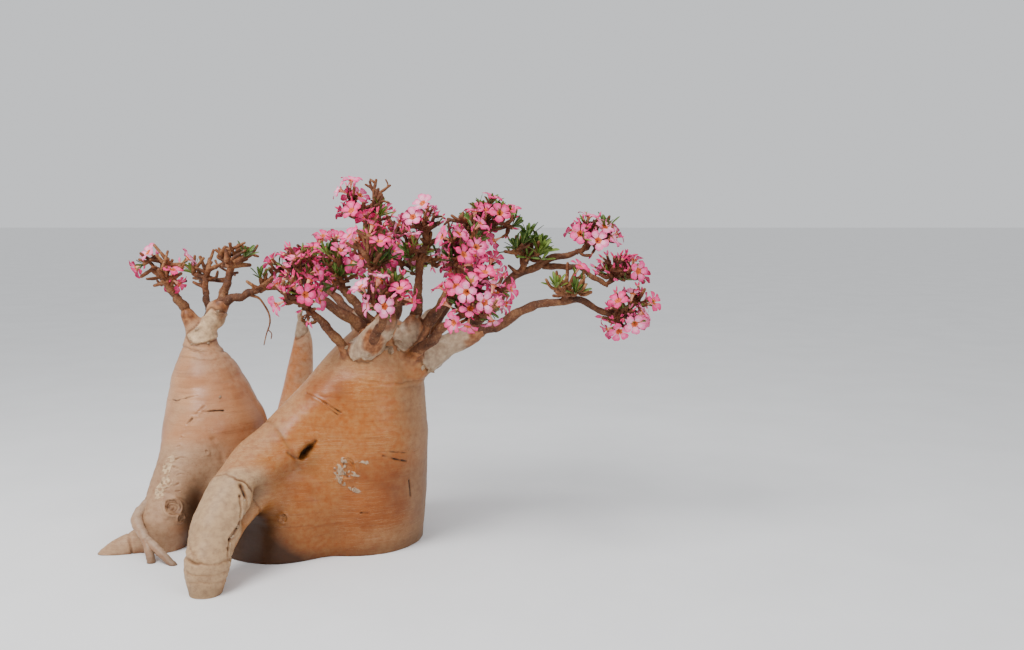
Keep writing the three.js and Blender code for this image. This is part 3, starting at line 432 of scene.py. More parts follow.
def radii_along(radii, steps):
    return np.interp(np.linspace(0, len(radii) - 1, steps + 1), np.arange(len(radii)), radii)


def smooth_chain(rows):
    """The tapering pieces of a chain of [x, y, z, radius], on a smooth curve through it."""
    steps = (len(rows) - 1) * CURVE_STEPS
    points = np.array(curve_points([row[:3] for row in rows], steps))
    radii = radii_along([row[3] for row in rows], steps)
    return points[:-1], np.diff(points, axis=0), radii[:-1], np.diff(radii)


def segment_gap(points, start, span):
    """How far each point is from a straight stretch, and at which share of it the nearest place lies."""
    offset = points - start
    share = np.clip(offset @ span / (span @ span), 0, 1)
    return np.linalg.norm(offset - share[:, None] * span, axis=1), share


def chain_distance(points, chain):
    """How far each point is from the nearest piece of a chain, less its radius there."""
    nearest = np.full(len(points), np.inf)
    for start, span, radius, change in zip(*chain):
        gap, share = segment_gap(points, start, span)
        np.minimum(nearest, gap - (radius + share * change), out=nearest)
    return nearest


def path_distance(points, path):
    path = np.array(path, float)
    nearest = np.full(len(points), np.inf)
    for start, end in zip(path, path[1:]):
        np.minimum(nearest, segment_gap(points, start, end - start)[0], out=nearest)
    return nearest


def blended(skin, own, blend):
    near = np.maximum(blend - np.abs(own - skin), 0) / blend
    return np.minimum(own, skin) - near * near * blend / 4


def skin_distance(points, parts):
    """The distance to the skin that flows over chains, each with the width of its blend."""
    skin = np.full(len(points), 1e9)
    for chain, blend in parts:
        skin = blended(skin, chain_distance(points, chain), blend)
    return skin


def swelling_parts(stem):
    return [(smooth_chain(rows), SKIN_BLEND) for rows in stem["swellings"]]


def bough_tip(bough):
    before, end = curve_points(bough["path"], BOUGH_STEPS)[-2:]
    return {"at": end, "way": unit(end - before), "radius": bough["radii"][1]}


# The boughs. One that goes on from another starts just clear of the other's tip.
BOUGHS = {}
for name, root, middle, tip, thick, thin in BOUGH_ROWS:
    before = bough_tip(BOUGHS[root]) if isinstance(root, str) else None
    start = before["at"] + JOINT_GAP * before["way"] if before else root
    path = [np.array(p, float) for p in (start, middle, tip)]
    BOUGHS[name] = {"path": path, "radii": (thick, thin), "rooted": before is None}

MASSES = [
    dict(zip(("name", "bough", "centre", "reach", "tips", "flowers", "leaves", "seed"), row))
    for row in MASS_ROWS
]
for mass in MASSES:
    mass["centre"] = np.array(mass["centre"], float)
    mass["reach"] = np.array(mass["reach"], float)
    mass["dry"] = mass["flowers"] + mass["leaves"] < 0.5
    mass["lush"] = mass["leaves"] > mass["flowers"] and not mass["dry"]


def bough_side(bough, share, centre):
    at = curve_point(bough["path"], share)
    return {"at": at, "way": unit(centre - at), "radius": 0.8 * lerp(*bough["radii"], share)}


def stem_of(mass):
    """The stem that carries a mass of twigs, from its bough to inside the mass."""
    bough = BOUGHS[mass["bough"]]
    side = SIDE_SHARE.get(mass["name"])
    tip = bough_side(bough, side, mass["centre"]) if side else bough_tip(bough)
    start = tip["at"] + JOINT_GAP * tip["way"]
    reach = np.linalg.norm(start - mass["centre"])
    knee = start + 0.2 * reach * tip["way"]
    end = lerp(start, mass["centre"], 0.55) + 0.1 * reach * tip["way"]
    return {"points": [start, knee, end], "way": tip["way"], "radius": tip["radius"]}


STEMS = {mass["name"]: stem_of(mass) for mass in MASSES}

# Balls along every limb, each with its owner, that the twigs keep clear of
BALLS = [
    (point, radius, "stem")
    for limb in MAIN_STEM["limbs"] + LEFT_STEM["limbs"]
    for point, radius in zip(limb["path"], limb["radii"])
]
for name, bough in BOUGHS.items():
    for i, at in enumerate(curve_points(bough["path"], BALL_STEPS)):
        BALLS.append((at, lerp(*bough["radii"], i / BALL_STEPS), name))
for mass in MASSES:
    stem = STEMS[mass["name"]]
    for at in stem["points"] + [lerp(stem["points"][1], stem["points"][2], 0.5)]:
        BALLS.append((at, stem["radius"], mass["name"]))
BALL_PLACES = np.array([ball[0] for ball in BALLS], float)
BALL_RADII = np.array([ball[1] for ball in BALLS], float)
BALL_OWNERS = np.array([ball[2] for ball in BALLS])
CENTRES = np.array([mass["centre"] for mass in MASSES])
REACHES = np.array([mass["reach"] for mass in MASSES])
SKINS = [swelling_parts(MAIN_STEM), swelling_parts(LEFT_STEM)]


def is_free(mass, at, radius, most=1):
    """Whether a ball lies in the mass's own space and clear of every limb that isn't its own."""
    within = np.linalg.norm((at - CENTRES) / REACHES, axis=1)
    number = MASSES.index(mass)
    if within[number] > most:
        return False
    room = radius + TWIG_MARGIN
    slopes = 1 / mass["reach"].min() + 1 / REACHES.min(axis=1)
    clear = (within - within[number]) / slopes >= room
    clear[number] = True
    if not clear.all():
        return False
    others = BALL_OWNERS != mass["name"]
    gaps = np.linalg.norm(BALL_PLACES - at, axis=1) - BALL_RADII
    if (gaps[others] < room).any():
        return False
    return at[2] > STEMS_TOP or min(skin_distance(at[None], skin)[0] for skin in SKINS) > room


def aim(mass, n, draw):
    """A place for a twig's tip, and the way that the twig bows."""
    height = 1 - 1.7 * (n + 0.5) / mass["tips"] + 0.3 * (next(draw) - 0.5)
    angle = n * GOLDEN_ANGLE + mass["seed"] + next(draw) - 0.5
    share = lerp(*TIP_REACH, next(draw))
    flat = math.sqrt(max(0, 1 - height * height))
    direction = np.array([flat * math.cos(angle), flat * math.sin(angle), height])
    tip = mass["centre"] + direction * share * mass["reach"]
    return tip, np.array([next(draw) - 0.5, next(draw) - 0.5, 0.5 * next(draw)])


def nearest_joint(joints, tip):
    best, least = 0, math.inf
    for i, joint in enumerate(joints[2:], 2):
        way = tip - joint["at"]
        back = INTERNODE / 2 if way @ (joint["at"] - joints[joint["parent"]]["at"]) < 0 else 0
        cost = np.linalg.norm(way) + 0.3 * joint["path"] + back
        if cost < least:
            best, least = i, cost
    return best


def twig_line(mass, start, tip, sway):
    length = np.linalg.norm(tip - start)
    steps = max(1, math.floor(length / INTERNODE + 0.5))
    shares = [(i + 1) / steps for i in range(steps)]
    points = [lerp(start, tip, s) + sway * 0.35 * length * math.sin(math.pi * s) for s in shares]
    return points if all(is_free(mass, at, 1.5 * TWIG_TIP_RADIUS) for at in points) else []


def splayed(axis, tilt, turn):
    """A direction tilted away from an axis, turned round it by an angle."""
    level = UP if abs(axis[2]) < 0.9 else np.array([1.0, 0.0, 0.0])
    side = unit(np.cross(axis, level))
    side = side * math.cos(turn) + np.cross(axis, side) * math.sin(turn)
    return axis * math.cos(tilt) + side * math.sin(tilt)


def upright(way):
    """The turn that takes the upward direction to a way, as columns."""
    across, along = np.cross(UP, way), way[2]
    skew = np.array([[0, -across[2], across[1]], [across[2], 0, -across[0]], [-across[1], across[0], 0]])
    return np.eye(3) + skew + skew @ skew / (1 + along)


def level_ring(radius, height, angles):
    """Points of a level circle at the given angles."""
    return np.column_stack([radius * np.cos(angles), radius * np.sin(angles), np.full(len(angles), height)])


def blossom_place(foot, way):
    spread = upright(way)
    angles = 2 * math.pi * (np.arange(PETALS) + 0.5) / PETALS
    tips = level_ring(BLOSSOM_RADIUS, BLOSSOM_TUBE + BLOSSOM_DEPTH, angles)
    centre = foot + spread @ np.array([0, 0, BLOSSOM_TUBE + 0.15 * BLOSSOM_DEPTH])
    ring = [foot + spread @ tip for tip in tips]
    return {"kind": "blossom", "ring": ring, "centre": centre, "room": BLOSSOM_ROOM, "foot": foot, "way": way}


def leaf_place(foot, way, axis):
    side = unit(np.cross(way, axis))
    middle = foot + 0.62 * LEAF_LENGTH * way
    rims = [middle + sign * side * LEAF_WIDTH / 2 for sign in (1, -1)]
    ring = [foot, rims[0], foot + LEAF_LENGTH * way, rims[1]]
    return {"kind": "leaf", "ring": ring, "centre": middle, "room": LEAF_ROOM, "foot": foot, "way": way}


def tuft_on(mass, n, kind, turn, points):
    """The blossoms or leaves at the end of a twig, as places for them."""
    line = unit(points[-1] - points[-2])
    foot = points[-1] - ROOTED * line
    axis = unit(line + TIP_LIFT * UP)
    if kind < mass["flowers"]:
        count, tilt = 1 + n % 2, 0.85 if n % 2 else 0.3
        ways = [splayed(axis, tilt, turn + 2 * math.pi * i / count) for i in range(count)]
        return [blossom_place(foot, way) for way in ways]
    if kind > mass["flowers"] + mass["leaves"]:
        return []
    ways = [splayed(axis, 0.75, turn + 2 * math.pi * i / LEAVES) for i in range(LEAVES)]
    return [leaf_place(foot, way, axis) for way in ways]


def grow_twigs(mass):
    """The twigs of a mass: joints with their parents, and what grows on each twig's tip."""
    stem = STEMS[mass["name"]]
    joints = [
        {"at": at, "parent": i - 1, "path": i * INTERNODE, "tips": 0} for i, at in enumerate(stem["points"])
    ]
    ends = []
    for n in range(mass["tips"]):
        draw = number_stream(mass["seed"] * 1000 + n)
        kind, turn = next(draw), 2 * math.pi * next(draw)
        ends.append((n, draw, kind, turn, aim(mass, n, draw)))
    ends.sort(key=lambda end: np.linalg.norm(stem["points"][2] - end[4][0]))

    twigs, kept = [], []

    def fits(piece):
        if not all(is_free(mass, at, 0, TUFT_REACH) for at in piece["ring"]):
            return False
        gaps = ((np.linalg.norm(other["centre"] - piece["centre"]), other["room"]) for other in kept)
        return all(gap > room + piece["room"] for gap, room in gaps)

    for n, draw, kind, turn, first in ends:
        best = None
        for tries in range(TRIES):
            tip, sway = aim(mass, n, draw) if tries else first
            start = nearest_joint(joints, tip)
            points = twig_line(mass, joints[start]["at"], tip, sway)
            if not points:
                continue
            tuft = tuft_on(mass, n, kind, turn, [joints[start]["at"]] + points)
            pieces = [piece for piece in tuft if fits(piece)]
            if best is None or len(pieces) > len(best["pieces"]):
                best = {"start": start, "points": points, "pieces": pieces}
            if len(pieces) == len(tuft):
                break
        if best is None:
            continue
        line = [best["start"]]
        for at in best["points"]:
            path = joints[line[-1]]["path"] + INTERNODE
            joints.append({"at": at, "parent": line[-1], "path": path, "tips": 0})
            line.append(len(joints) - 1)
        twigs.append({"line": line, "pieces": best["pieces"], "kind": kind})
        kept.extend(best["pieces"])
        i = line[-1]
        while i >= 0:
            joints[i]["tips"] += 1
            i = joints[i]["parent"]
    return joints, twigs


def twig_radius(tips, most):
    return min(most, TWIG_TIP_RADIUS * max(tips, 1) ** TWIG_THICKENING)


def noise(points, size, seed):
    """Smooth seeded noise from -1 to 1, with lumps of about the given size."""
    scaled = np.asarray(points) / size
    base = np.floor(scaled).astype(np.int64)
    share = scaled - base
    share = share * share * (3 - 2 * share)
    total = np.zeros(len(scaled))
    for corner in CORNERS:
        x, y, z = ((base + corner) * PLACE_FACTORS).T
        mixed = x ^ y ^ z ^ (seed + 7) * SEED_FACTOR
        mixed = ((mixed ^ (mixed >> 13)) * SPREAD_FACTOR) & WORD
        value = ((mixed ^ (mixed >> 16)) & 0xFFFFFF) / 0x7FFFFF - 1
        total += np.prod(np.where(corner, share, 1 - share), axis=1) * value
    return total


def ripples(points, *layers):
    """Noise in layers, each with its strength, size and seed."""
    return sum(strength * noise(points, size, seed) for strength, size, seed in layers)


def smooth_step(low, high, values):
    share = np.clip((values - low) / (high - low), 0, 1)
    return share * share * (3 - 2 * share)


def bell(values):
    """A smooth bump: 1 where a value is 0, dying away on both sides."""
    return np.exp(-(values**2))


def skin_values(parts, low, count, cell):
    """The distance to the skin at each point of a grid, worked out in full only near the skin."""
    coarse = [np.arange(COARSE_STEP // 2, n + COARSE_STEP, COARSE_STEP) for n in count]
    axes = [low[axis] + cell * coarse[axis] for axis in range(3)]
    places = np.stack(np.meshgrid(*axes, indexing="ij"), axis=-1).reshape(-1, 3)
    rough = skin_distance(places, parts).reshape([len(row) for row in coarse])
    for axis in range(3):
        rough = np.repeat(rough, COARSE_STEP, axis=axis)
    values = rough[: count[0], : count[1], : count[2]].copy()
    close = np.argwhere(np.abs(values) < (COARSE_STEP + 0.5) * cell)
    values[tuple(close.T)] = skin_distance(low + cell * close, parts)
    return values


def skin_mesh(parts, low, high, cell):
    """Points and four-sided faces of the surface where the distance to the skin is zero."""
    low = np.array(low, float)
    count = np.ceil((np.array(high) - low) / cell).astype(int) + 1
    values = skin_values(parts, low, count, cell)
    floor_height = low[2] + cell * 2
    heights = low[2] + cell * np.arange(count[2])
    values = np.maximum(values, (floor_height - 0.5 * cell - heights)[None, None, :])
    inside = values < 0
    held = np.zeros(count - 1, np.int8)
    for i, j, k in CORNERS:
        held += inside[i : i - 1 or None, j : j - 1 or None, k : k - 1 or None]
    crossing = (held > 0) & (held < 8)
    cells = np.argwhere(crossing)
    number = np.full(crossing.shape, -1)
    number[crossing] = np.arange(len(cells))
    corner = np.stack([values[tuple((cells + step).T)] for step in CORNERS])
    total, weight = np.zeros((len(cells), 3)), np.zeros(len(cells))
    for a, b in EDGES:
        crossed = (corner[a] < 0) != (corner[b] < 0)
        share = corner[a][crossed] / (corner[a][crossed] - corner[b][crossed])
        total[crossed] += CORNERS[a] + share[:, None] * (CORNERS[b] - CORNERS[a])
        weight[crossed] += 1
    points = low + cell * (cells + total / weight[:, None])
    faces = []
    for axis in range(3):
        after = np.roll(inside, -1, axis)
        edges = np.argwhere(inside != after)
        edges = edges[(edges > 0).all(1) & (edges < count - 1).all(1)]
        u, v = np.eye(3, dtype=int)[(axis + 1) % 3], np.eye(3, dtype=int)[(axis + 2) % 3]
        ring = [number[tuple((edges - back).T)] for back in (0 * u, u, u + v, v)]
        quads = np.column_stack(ring)
        outward = inside[tuple(edges.T)]
        faces.append(np.where(outward[:, None], quads, quads[:, ::-1]))
    return points, np.concatenate(faces)


def skin_slope(points, parts):
    here = skin_distance(points, parts)
    steps = np.eye(3)
    return here, np.column_stack([skin_distance(points + step, parts) - here for step in steps])


def onto_skin(points, parts):
    """The points moved straight to the skin, and the skin's outward direction there."""
    for _ in range(SKIN_ROUNDS):
        here, slope = skin_slope(points, parts)
        points = points - (here / np.maximum((slope**2).sum(1), 0.05))[:, None] * slope
    slope = skin_slope(points, parts)[1]
    return points, slope / np.linalg.norm(slope, axis=1)[:, None]


def plate_reach(points, path, radius):
    """How far inside the ragged edge of a plate each point lies."""
    return radius - path_distance(points, path) + ripples(points, (7, 34, 1), (2.5, 13, 2))


class Relief:
    """How far the bark stands proud at each point, where it is loose, and where shade is painted into its
    creases and hollows.
    """

    def __init__(self, points, outward):
        self.points, self.outward = points, outward
        self.wobble = ripples(points, (5, 26, 1), (3, 11, 2))
        self.proud = ripples(points, (2.6, 110, 3), (1.0, 42, 4), (0.25, 16, 5))
        self.proud += 0.4 * noise(points * [0.2, 0.2, 1.0], 9, 6)
        self.dark, self.loose = np.zeros(len(points)), np.zeros(len(points))

    # Painted shade: darkens the bark in creases, grooves, seams and under overhanging lips.
    def darken(self, amount):
        self.dark = np.maximum(self.dark, amount)

    def add_plate(self, path, radius, height):
        """A plate of loose bark with a raised ragged lip and a painted shadow line just outside it, where the
        bark doesn't face the sky.
        """
        reach = plate_reach(self.points, path, radius)
        plate = smooth_step(-1.5, 2.5, reach)
        lip = 0.5 * np.exp(-((reach - 5) ** 2) / 30)
        self.proud += height * plate * (0.8 + lip + 0.2 * noise(self.points, 18, 8))
        self.loose = np.maximum(self.loose, plate)
        self.darken(0.6 * bell((reach + 4) / 3.5) * (self.outward[:, 2] < 0.6))

    def add_crust(self, path, radius, height):
        """A plate that is broken into small scales."""
        reach = plate_reach(self.points, path, radius) - 7 * np.abs(noise(self.points, 13, 15))
        crust = smooth_step(0, 2, reach) * smooth_step(-0.25, 0.05, noise(self.points, 10, 16))
        self.proud += height * crust * (1 + 0.5 * noise(self.points, 6, 17))
        self.loose = np.maximum(self.loose, crust)

    def cut_groove(self, path, width, depth):
        """A groove, uneven and with swollen lips where it is narrow."""
        away = path_distance(self.points, path) + min(0.3, 1.3 / width) * self.wobble
        cut = bell(away / width)
        if width < 7:
            cut *= np.clip(0.75 + 0.7 * noise(self.points, 24, 18), 0.1, 1)
        lips = 0.25 * bell((away - 2 * width) / width)
        self.proud += depth * (lips * (width < 7) - cut)
        # Painted shade in the groove, darker where it is deep for its width.
        depth_shown = np.clip((depth / width - 0.45) / 0.8, 0.0, 1)
        self.darken(cut ** (1.3 if width < 8 else 2) * depth_shown)
        self.loose *= 1 - cut

    def cut_ring(self, centre, way, reach, width, depth):
        """A wavering crease across a limb, deeper in some stretches, with a low lip beside it."""
        offset = self.points - centre
        waver = 0.8 * self.wobble
        away = np.abs(offset @ unit(np.array(way)) + waver + 6 * noise(self.points, 80, 9))
        fade = smooth_step(1.0, 0.75, np.linalg.norm(offset, axis=1) / reach)
        fade *= np.clip(0.6 + 0.75 * noise(self.points, 75, 10), 0, 1)
        cut = bell(away / width) * fade
        self.proud -= depth * cut
        self.proud += 0.3 * depth * bell((away - 2.4 * width) / width) * fade
        # Painted shade in the crease.
        self.darken(0.6 * cut * min(1, depth / 6))

    def add_knot(self, centre, radius, height):
        """A swollen knot with a broken rim, a hollow middle and a faint swirl."""
        offset = self.points - centre
        waver = 0.5 * self.wobble * min(1, radius / 20)
        away = np.linalg.norm(offset * [1, 1, 0.85], axis=1) + waver
        away += 0.36 * radius * noise(self.points, 0.8 * radius, 14)
        rim = bell((away - radius) / (0.24 * radius))
        rim *= np.clip(0.65 + noise(self.points, 1.1 * radius, 19), 0.1, 1)
        swell = smooth_step(1.9 * radius, 0.6 * radius, away)
        middle = smooth_step(0.85 * radius, 0.35 * radius, away)
        swirl = np.sin(6.3 * away / (0.3 * radius) + np.arctan2(offset[:, 2], offset[:, 0]))
        self.proud += height * (0.7 * rim + 0.45 * swell - 0.5 * middle + 0.09 * swirl * swell)
        # Painted shade in the seam round the knot's hollow middle; the darker swirl there is partly the
        # knot's own grain and partly painted shade in the hollow.
        seam = 0.7 * bell((away - 0.72 * radius) / (0.1 * radius))
        self.darken(seam * smooth_step(-0.2, 0.3, noise(self.points, min(14, 0.8 * radius), 12)))
        self.darken(0.3 * smooth_step(0.2, 0.9, swirl) * middle)


def bark_relief(points, outward, marks):
    """How far the bark stands proud at each point, and the masks that its colours follow."""
    relief = Relief(points, outward)
    carvers = {
        "plates": relief.add_plate,
        "crusts": relief.add_crust,
        "grooves": relief.cut_groove,
        "rings": relief.cut_ring,
        "knots": relief.add_knot,
    }
    for kind, carve in carvers.items():
        for mark in marks.get(kind, []):
            carve(*mark)
    # The dark mask is painted shade in the grooves, creases and knot seams and under the plates' lips.
    return relief.proud, {"loose": relief.loose, "dark": np.clip(relief.dark, 0, 1)}


def near_marks(points, marks, band):
    """Which points lie so near a mark that they need finer triangles."""
    near = np.zeros(len(points), bool)
    for path, width, _ in marks["grooves"]:
        if width < 20:
            near |= path_distance(points, path) < band * (2.4 * width + 7)
    for path, radius, _ in marks["plates"]:
        near |= np.abs(plate_reach(points, path, radius)) < 9 * band
    for path, radius, _ in marks["crusts"]:
        near |= plate_reach(points, path, radius) > -6 * band
    for centre, way, reach, width, depth in marks["rings"]:
        offset = points - centre
        waver = ripples(points, (4, 26, 1), (2.4, 11, 2), (6, 80, 9))
        beside = np.abs(offset @ unit(np.array(way)) + waver) < band * (2.2 * width + 4)
        near |= beside & (np.linalg.norm(offset, axis=1) < reach) & (depth * band > 2)
    for centre, radius, _ in marks["knots"]:
        near |= np.linalg.norm(points - centre, axis=1) < (1 + 0.7 * band) * radius
    return near


def refine(points, faces, chosen):
    """Cuts the triangle edges that join two chosen points, with no gaps beside the finer triangles."""
    edges = np.sort(faces[:, [0, 1, 1, 2, 2, 0]].reshape(-1, 2), axis=1)
    keys = edges[:, 0] * len(points) + edges[:, 1]
    _, first, which = np.unique(keys, return_index=True, return_inverse=True)
    pairs = edges[first]
    cut = chosen[pairs].all(axis=1)
    middles = np.full(len(pairs), -1)
    middles[cut] = len(points) + np.arange(cut.sum())
    points = np.concatenate([points, points[pairs[cut]].mean(axis=1)])
    middle = middles[which.reshape(-1)].reshape(-1, 3)
    count = (middle >= 0).sum(axis=1)
    made = [faces[count == 0]]

    def turned(rows, start):
        return np.take_along_axis(rows, (start[:, None] + np.arange(3)) % 3, axis=1)

    one, two, three = count == 1, count == 2, count == 3
    start = np.argmax(middle[one] >= 0, axis=1)
    (a, b, c), (m, _, _) = turned(faces[one], start).T, turned(middle[one], start).T
    made += [np.column_stack([a, m, c]), np.column_stack([m, b, c])]
    start = (np.argmin(middle[two] >= 0, axis=1) + 1) % 3
    (a, b, c), (m, n, _) = turned(faces[two], start).T, turned(middle[two], start).T
    made += [np.column_stack(row) for row in ((m, b, n), (a, m, n), (a, n, c))]
    (a, b, c), (m, n, o) = faces[three].T, middle[three].T
    made += [np.column_stack(row) for row in ((a, m, o), (m, b, n), (o, n, c), (m, n, o))]
    return points, np.concatenate(made)


def grid_faces(rows, columns, closed=False):
    """Four-sided faces between rows of points, which are open or closed to rings."""
    steps = np.arange(columns if closed else columns - 1)
    starts = np.arange(rows - 1)[:, None] * columns
    a, b = starts + steps, starts + (steps + 1) % columns
    return np.stack([a, b, b + columns, a + columns], axis=-1).reshape(-1, 4)


def face_triangles(faces):
    faces = np.asarray(faces)
    if faces.shape[1] == 3:
        return faces
    return np.concatenate([faces[:, [0, 1, 2]], faces[:, [0, 2, 3]]])


def new_object(name, data):
    made = bpy.data.objects.new(name, data)
    bpy.context.scene.collection.objects.link(made)
    return made


def make_piece(name, points, faces, materials, nodes, choices=None, masks=None):
    """A mesh object from points in millimetres and triangles, riding on the plant."""
    points, faces = np.asarray(points, float) * MM, np.asarray(faces, np.int32)
    mesh = bpy.data.meshes.new(name)
    mesh.vertices.add(len(points))
    mesh.vertices.foreach_set("co", points.astype(np.float32).ravel())
    mesh.loops.add(faces.size)
    mesh.loops.foreach_set("vertex_index", faces.ravel())
    mesh.polygons.add(len(faces))
    mesh.polygons.foreach_set("loop_start", np.arange(0, faces.size, 3, dtype=np.int32))
    for material in materials:
        mesh.materials.append(material)
    if choices is not None:
        mesh.polygons.foreach_set("material_index", np.asarray(choices, np.int32))
    for label, values in (masks or {}).items():
        mask = mesh.attributes.new(label, "FLOAT", "POINT")
        mask.data.foreach_set("value", values.astype(np.float32))
    mesh.update(calc_edges=True)
    mesh.validate()
    mesh.shade_smooth()
    piece = new_object(name, mesh)
    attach(piece, "root")
    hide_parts(*nodes)


class Heap:
    """Meshes gathered to be one piece: their points, triangles, material numbers and masks."""

    def __init__(self):
        self.points, self.faces, self.choices, self.size = [], [], [], 0

    def add(self, points, faces, choice=0):
        faces = face_triangles(faces)
        self.points.append(np.asarray(points, float))
        self.faces.append(faces + self.size)
        self.choices.append(np.broadcast_to(np.asarray(choice), len(faces)))
        self.size += len(points)

    def piece(self, name, materials, slot, nodes, relief=None):
        points, faces = np.concatenate(self.points), np.concatenate(self.faces)
        masks = {}
        if relief:
            points, masks = relief(points, faces)
        make_piece(name, points, faces, materials, nodes, np.concatenate(self.choices), masks)


def tube(points, radii, sides, round_end=True):
    """A tube through points with its own radius at each, closed at both ends: points, triangles."""
    points, radii = [np.asarray(p, float) for p in points], list(radii)
    if round_end:
        way, tip, end_radius = unit(points[-1] - points[-2]), points[-1], radii[-1]
        for out, share in ((0.55, 0.8), (0.9, 0.4)):
            points.append(tip + out * end_radius * way)
            radii.append(share * end_radius)
    points = np.array(points)
    ways = np.empty_like(points)
    ways[1:-1] = points[2:] - points[:-2]
    ways[0], ways[-1] = points[1] - points[0], points[-1] - points[-2]
    ways /= np.linalg.norm(ways, axis=1)[:, None]
    side = unit(np.cross([0.31, 0.95, 0.05], ways[0]))
    angles = 2 * math.pi * np.arange(sides) / sides
    rings = []
    for point, way, radius in zip(points, ways, radii):
        side = unit(side - (side @ way) * way)
        other = np.cross(way, side)
        rings.append(point + radius * (np.cos(angles)[:, None] * side + np.sin(angles)[:, None] * other))
    last = (len(points) - 1) * sides
    ends = [[0, s + 1, s] for s in range(1, sides - 1)]
    ends += [[last, last + s, last + s + 1] for s in range(1, sides - 1)]
    walls = face_triangles(grid_faces(len(points), sides, closed=True))
    return np.concatenate(rings), np.concatenate([walls, np.array(ends)])


def smooth_line(points, steps):
    """More points on the smooth curve through points, with as many steps in each stretch."""
    points = [np.asarray(p, float) for p in points]
    if len(points) == 2:
        return [lerp(points[0], points[1], i / steps) for i in range(steps + 1)]
    return curve_points(points, steps * (len(points) - 1))


class Look:
    """A procedural material, made node by node."""

    def __init__(self, name, roughness):
        self.material = bpy.data.materials.new(name)
        self.material.use_nodes = True
        self.tree = self.material.node_tree
        self.surface = self.tree.nodes["Principled BSDF"]
        self.surface.inputs["Roughness"].default_value = roughness
        self.surface.inputs["Specular IOR Level"].default_value = 0.3
        self.place = self.tree.nodes.new("ShaderNodeTexCoord").outputs["Object"]

    def set(self, socket, value):
        if isinstance(value, bpy.types.NodeSocket):
            self.tree.links.new(value, socket)
        else:
            socket.default_value = (*value, 1) if socket.type == "RGBA" else value

    def node(self, kind, **inputs):
        node = self.tree.nodes.new("ShaderNode" + kind)
        for name, value in inputs.items():
            self.set(node.inputs[name], value)
        return node

    def noise(self, scale, detail=3, stretch=(1, 1, 1), rough=0.55):
        place = self.node("Mapping", Vector=self.place, Scale=stretch).outputs["Vector"]
        grain = self.node("TexNoise", Vector=place, Scale=scale, Detail=detail, Roughness=rough)
        return grain.outputs["Fac"]

    def ramp(self, value, *stops):
        node = self.node("ValToRGB", Fac=value)
        marks = node.color_ramp.elements
        while len(marks) < len(stops):
            marks.new(0.5)
        for mark, (place, colour) in zip(marks, stops):
            mark.position = place
            mark.color = (*colour, 1) if isinstance(colour, tuple) else (colour, colour, colour, 1)
        return node.outputs["Color"]

    def mix(self, share, first, second):
        node = self.node("Mix")
        node.data_type = "RGBA"
        for socket, value in zip((0, 6, 7), (share, first, second)):
            self.set(node.inputs[socket], value)
        return node.outputs[2]

    def math(self, way, first, second):
        node = self.node("Math")
        node.operation = way
        node.use_clamp = True
        self.set(node.inputs[0], first)
        self.set(node.inputs[1], second)
        return node.outputs[0]

    def mask(self, name):
        node = self.node("Attribute")
        node.attribute_name = name
        return node.outputs["Fac"]

    def bump(self, height, strength, distance):
        node = self.node("Bump", Height=height, Strength=strength, Distance=distance)
        self.set(self.surface.inputs["Normal"], node.outputs["Normal"])

    def colour(self, value):
        self.set(self.surface.inputs["Base Color"], value)
        return self.material


def rgb(code):
    """A colour of the screen as the linear values that a shader takes."""
    parts = [int(code[i : i + 2], 16) / 255 for i in (0, 2, 4)]
    return tuple(p / 12.92 if p <= 0.04045 else ((p + 0.055) / 1.055) ** 2.4 for p in parts)


CREAM_SCALES = ("9c7e62", "c4a47e", "dcbc94")
GREY_SCALES = ("8a705a", "a58b70", "bfa88c")
BOUGH_BROWNS = ("5a321c", "84502e", "a87248")
SCRATCH_TONE = "e6c294"
# The next two are colours of painted shade: on the stems, and in the creases of their bark.
SHADE_TONE = "2c1708"
CREASE_SHADE_TONE = "1c110b"


